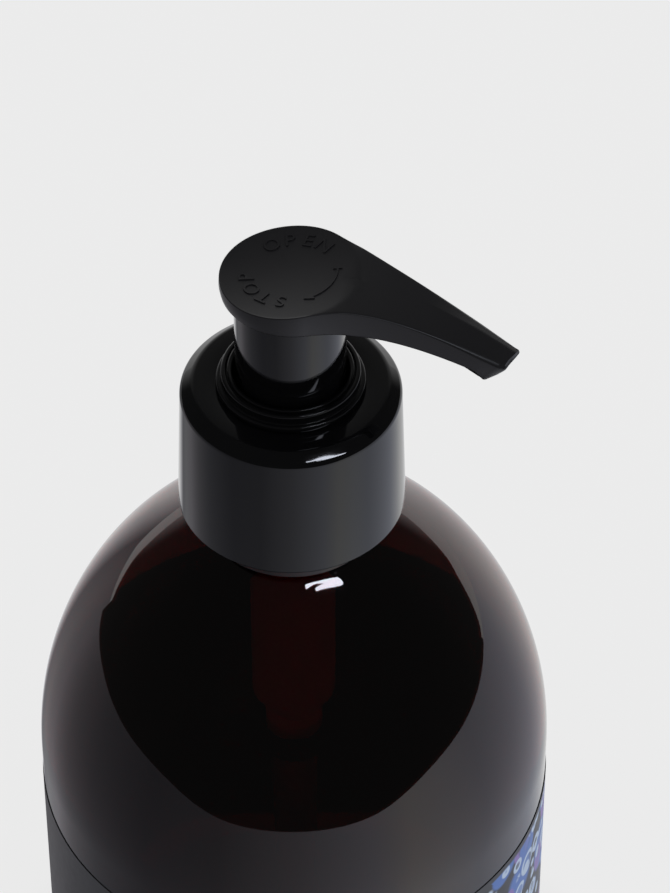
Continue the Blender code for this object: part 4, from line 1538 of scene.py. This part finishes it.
    def _dark_walls(self) -> None:
        """Dark walls and ceiling of the room, mirrored and refracted only, open to the pale back; after a
        diffuse bounce they glow as painted light on the pump pieces inside the bottle.
        """
        work = bmesh.new()
        columns = self.wall_columns
        low_ring = self._ring(work, columns, lambda bearing: (self._foot(bearing), 0.0))
        mid_ring = self._ring(work, columns, lambda bearing: (self.floor_radius, self._opening(bearing)))
        high_ring = self._ring(work, columns, lambda _: (self.floor_radius * 0.8, self.wall_top))
        crown = work.verts.new((0.0, 0.0, self.wall_top + 0.1))
        for index in range(columns):
            turn = (index + 1) % columns
            bearing = (index + 0.5) * 360.0 / columns - 180.0
            if self.wall_from < bearing < self.wall_to:
                work.faces.new((low_ring[index], low_ring[turn], mid_ring[turn], mid_ring[index]))
            work.faces.new((mid_ring[index], mid_ring[turn], high_ring[turn], high_ring[index]))
            work.faces.new((high_ring[index], high_ring[turn], crown))
        walls = close_mesh("studio_dark_walls", work)
        board = FinishBoard("studio_dark_walls")
        place = board.place_axes()
        low = board.math("SUBTRACT", 1.0, board.step(place["Z"], *self.glow_heights))
        behind = board.math("MULTIPLY", board.step(place["Y"], *self.glow_depths), self.back_glow)
        dim = board.math("ADD", board.math("MULTIPLY", low, behind), self.wall_glow)
        # Past a diffuse bounce the walls glow brightly: painted light for the pump pieces seen through the
        # amber.
        after_diffuse_bounce = board.math("GREATER_THAN", board.node("LightPath").outputs["Diffuse Depth"], 0.5)
        glow = board.node("Emission")
        strength = board.math("MAXIMUM", dim, board.math("MULTIPLY", after_diffuse_bounce, self.inner_painted_light))
        board.join(strength, glow.inputs["Strength"])
        board.surface(glow.outputs[0])
        board.material.cycles.emission_sampling = "NONE"
        walls.data.materials.append(board.material)
        self._mirrored_only(walls)

    @staticmethod
    def _mirrored_only(piece: Piece) -> None:
        """Leaves a studio piece to what the bottle mirrors and refracts."""
        for rays in ("camera", "diffuse", "shadow", "volume_scatter"):
            setattr(piece, f"visible_{rays}", False)

    def _shade_card(self) -> None:
        """Tinted card on the table that dims only what mirrors the table: painted shade, darkest at the
        front left, with a cooler cast to the right.
        """
        work = bmesh.new()
        columns = self.card_columns
        inner = self._ring(work, columns, lambda _: (self.card_from, 0.0))
        outer = self._ring(work, columns, lambda _: (self.floor_radius, 0.0))
        skin(work, (inner, outer))
        card = close_mesh("studio_shade_card", work)
        board = FinishBoard("studio_shade_card")
        place = board.place_axes()
        bearing = board.math("ARCTAN2", place["X"], board.math("MULTIPLY", place["Y"], -1.0))
        # Ramp of painted shade by bearing round the bottle.
        ramp = board.node("ValToRGB")
        board.join(board.math("ADD", board.math("DIVIDE", bearing, math.tau), 0.5), ramp.inputs[0])
        stops = ramp.color_ramp.elements
        stops[0].position, stops[1].position = 0.0, 1.0
        stops[0].color, stops[1].color = ((*self.card_shades[end][1], 1.0) for end in (0, -1))
        for angle, tint in self.card_shades[1:-1]:
            stops.new(angle / 360.0 + 0.5).color = (*tint, 1.0)
        clear = board.node("BsdfTransparent")
        board.join(ramp.outputs[0], clear.inputs[0])
        board.surface(clear.outputs[0])
        card.data.materials.append(board.material)
        self._mirrored_only(card)
        LOG.info("studio_shade_card: from %.2f m", self.card_from)

    def _foot(self, bearing: float) -> float:
        """How far off the dark walls stand on the table, nearer at the front and at the left."""
        front = math.exp(-abs(bearing / self.foot_front[0]) ** self.foot_front[1])
        left = math.exp(-((bearing + self.foot_left[0]) / self.foot_left[1]) ** 2)
        return self.floor_radius - self.front_foot * front - self.left_foot * left

    def _opening(self, bearing: float) -> float:
        """How high the pale back stands under the dark walls."""
        starts = self.right_openings if bearing > 0.0 else self.left_openings
        near, far = (HeadForm.ease((abs(bearing) - start) / run) for start, run in starts)
        least, first, second = self.opening_heights
        return least + first * near + second * far

    @staticmethod
    def _ring(work: Mesh, columns: int, place: Callable[[float], Point]) -> list[Vert]:
        """Vertices of one ring, counted round from the back with the front in the middle.

        Args:
            work: The mesh being built.
            columns: Steps around.
            place: Radius and height at a bearing in degrees, right of the front.

        Returns:
            The ring's vertices.
        """
        ring = []
        for index in range(columns):
            bearing = index * 360.0 / columns - 180.0
            turn = math.radians(bearing)
            reach, height = place(bearing)
            ring.append(work.verts.new((reach * math.sin(turn), -reach * math.cos(turn), height)))
        return ring

    def _lamp(self) -> None:
        """Lens-shaped lamp high to the front right, with a slot in its left half."""
        left = self._toward(*self.lamp_left)
        right = self._toward(*self.lamp_right)
        far = self.lamp_far
        centre = (left + right).normalized()
        along = (right - left).normalized()
        across = centre.cross(along).normalized()
        half_long = far * math.tan(left.angle(right) / 2)
        origin = Vector((0.0, 0.0, self.lamp_over)) + centre * far
        work = bmesh.new()
        steps = self.lamp_steps
        columns = []
        for step in range(steps + 1):
            share = 2.0 * step / steps - 1.0
            spots = [origin + along * (share * half_long) + across * v for v in self._lamp_edges(share)]
            columns.append([work.verts.new(spot) for spot in spots])
        for step, (column, after) in enumerate(zip(columns, columns[1:])):
            work.faces.new((column[0], after[0], after[1], column[1]))
            if step >= steps * self.lower_from:
                work.faces.new((column[2], after[2], after[3], column[3]))
        lamp = close_mesh("studio_window", work)
        board = FinishBoard("studio_window")
        glow = board.node("Emission")
        glow.inputs["Color"].default_value = (*self.lamp_tint, 1.0)
        glow.inputs["Strength"].default_value = self.lamp_strength
        board.surface(glow.outputs[0])
        lamp.data.materials.append(board.material)
        lamp.visible_camera = False

    def _lamp_edges(self, share: float) -> tuple[float, float, float, float]:
        """Edges of the lamp across its length: top, slot's top, slot's bottom and bottom.

        Args:
            share: Place along the lamp, from -1 at its left end to 1.

        Returns:
            The four distances from the lamp's middle line.
        """
        off = share - self.lamp_widest
        if off > 0.0:
            half = self.lamp_half * math.sqrt(max(1.0 - (off / (1.0 - self.lamp_widest)) ** 2, 0.01))
        else:
            half = self.lamp_half * (1.0 - 0.15 * (off / (1.0 + self.lamp_widest)) ** 2)
        slot = min(max((-0.02 - share) / 0.5, 0.0), 1.0)
        middle = -half * 0.34
        return half, middle + 0.24 * half * slot, middle - 0.24 * half * slot - 1e-5, -half

    @staticmethod
    def _toward(bearing: float, elevation: float) -> Vector:
        """Unit vector at a bearing right of the front and an elevation, both in degrees."""
        turn, rise = math.radians(bearing), math.radians(elevation)
        flat = math.cos(rise)
        return Vector((math.sin(turn) * flat, -math.cos(turn) * flat, math.sin(rise)))

    def _camera(self) -> None:
        """Long lens, 45 degrees above the front."""
        data = bpy.data.cameras.new("camera")
        data.lens = self.lens
        data.sensor_width = 36.0
        data.clip_start = 0.02
        data.clip_end = 20.0
        camera = bpy.data.objects.new("camera", data)
        bpy.context.scene.collection.objects.link(camera)
        stand = Vector((0.0, 0.0, self.look_height)) + self._toward(0.0, self.elevation) * self.distance
        aim = Vector((self.aim_right, 0.0, self.look_height))
        camera.location = stand
        camera.rotation_euler = (aim - stand).to_track_quat("-Z", "Y").to_euler()
        bpy.context.scene.camera = camera
        bpy.context.scene.view_settings.view_transform = "Standard"


def main() -> None:
    """Builds the dressed bottle and its studio in order."""
    logging.basicConfig(level=logging.INFO, format="%(name)s: %(message)s")
    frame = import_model()
    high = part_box("label")[1]
    shelf = FinishShelf(PrintedFilm(high.x, high.z))
    shelf.stock()
    AmberBottle(shelf).build()
    ScrewClosure(shelf).build()
    LockingRing(shelf).build()
    PumpHead(shelf).build()
    PumpInsides(shelf).build(frame["nodes"])
    Studio().build()


if __name__ == "__main__":
    main()
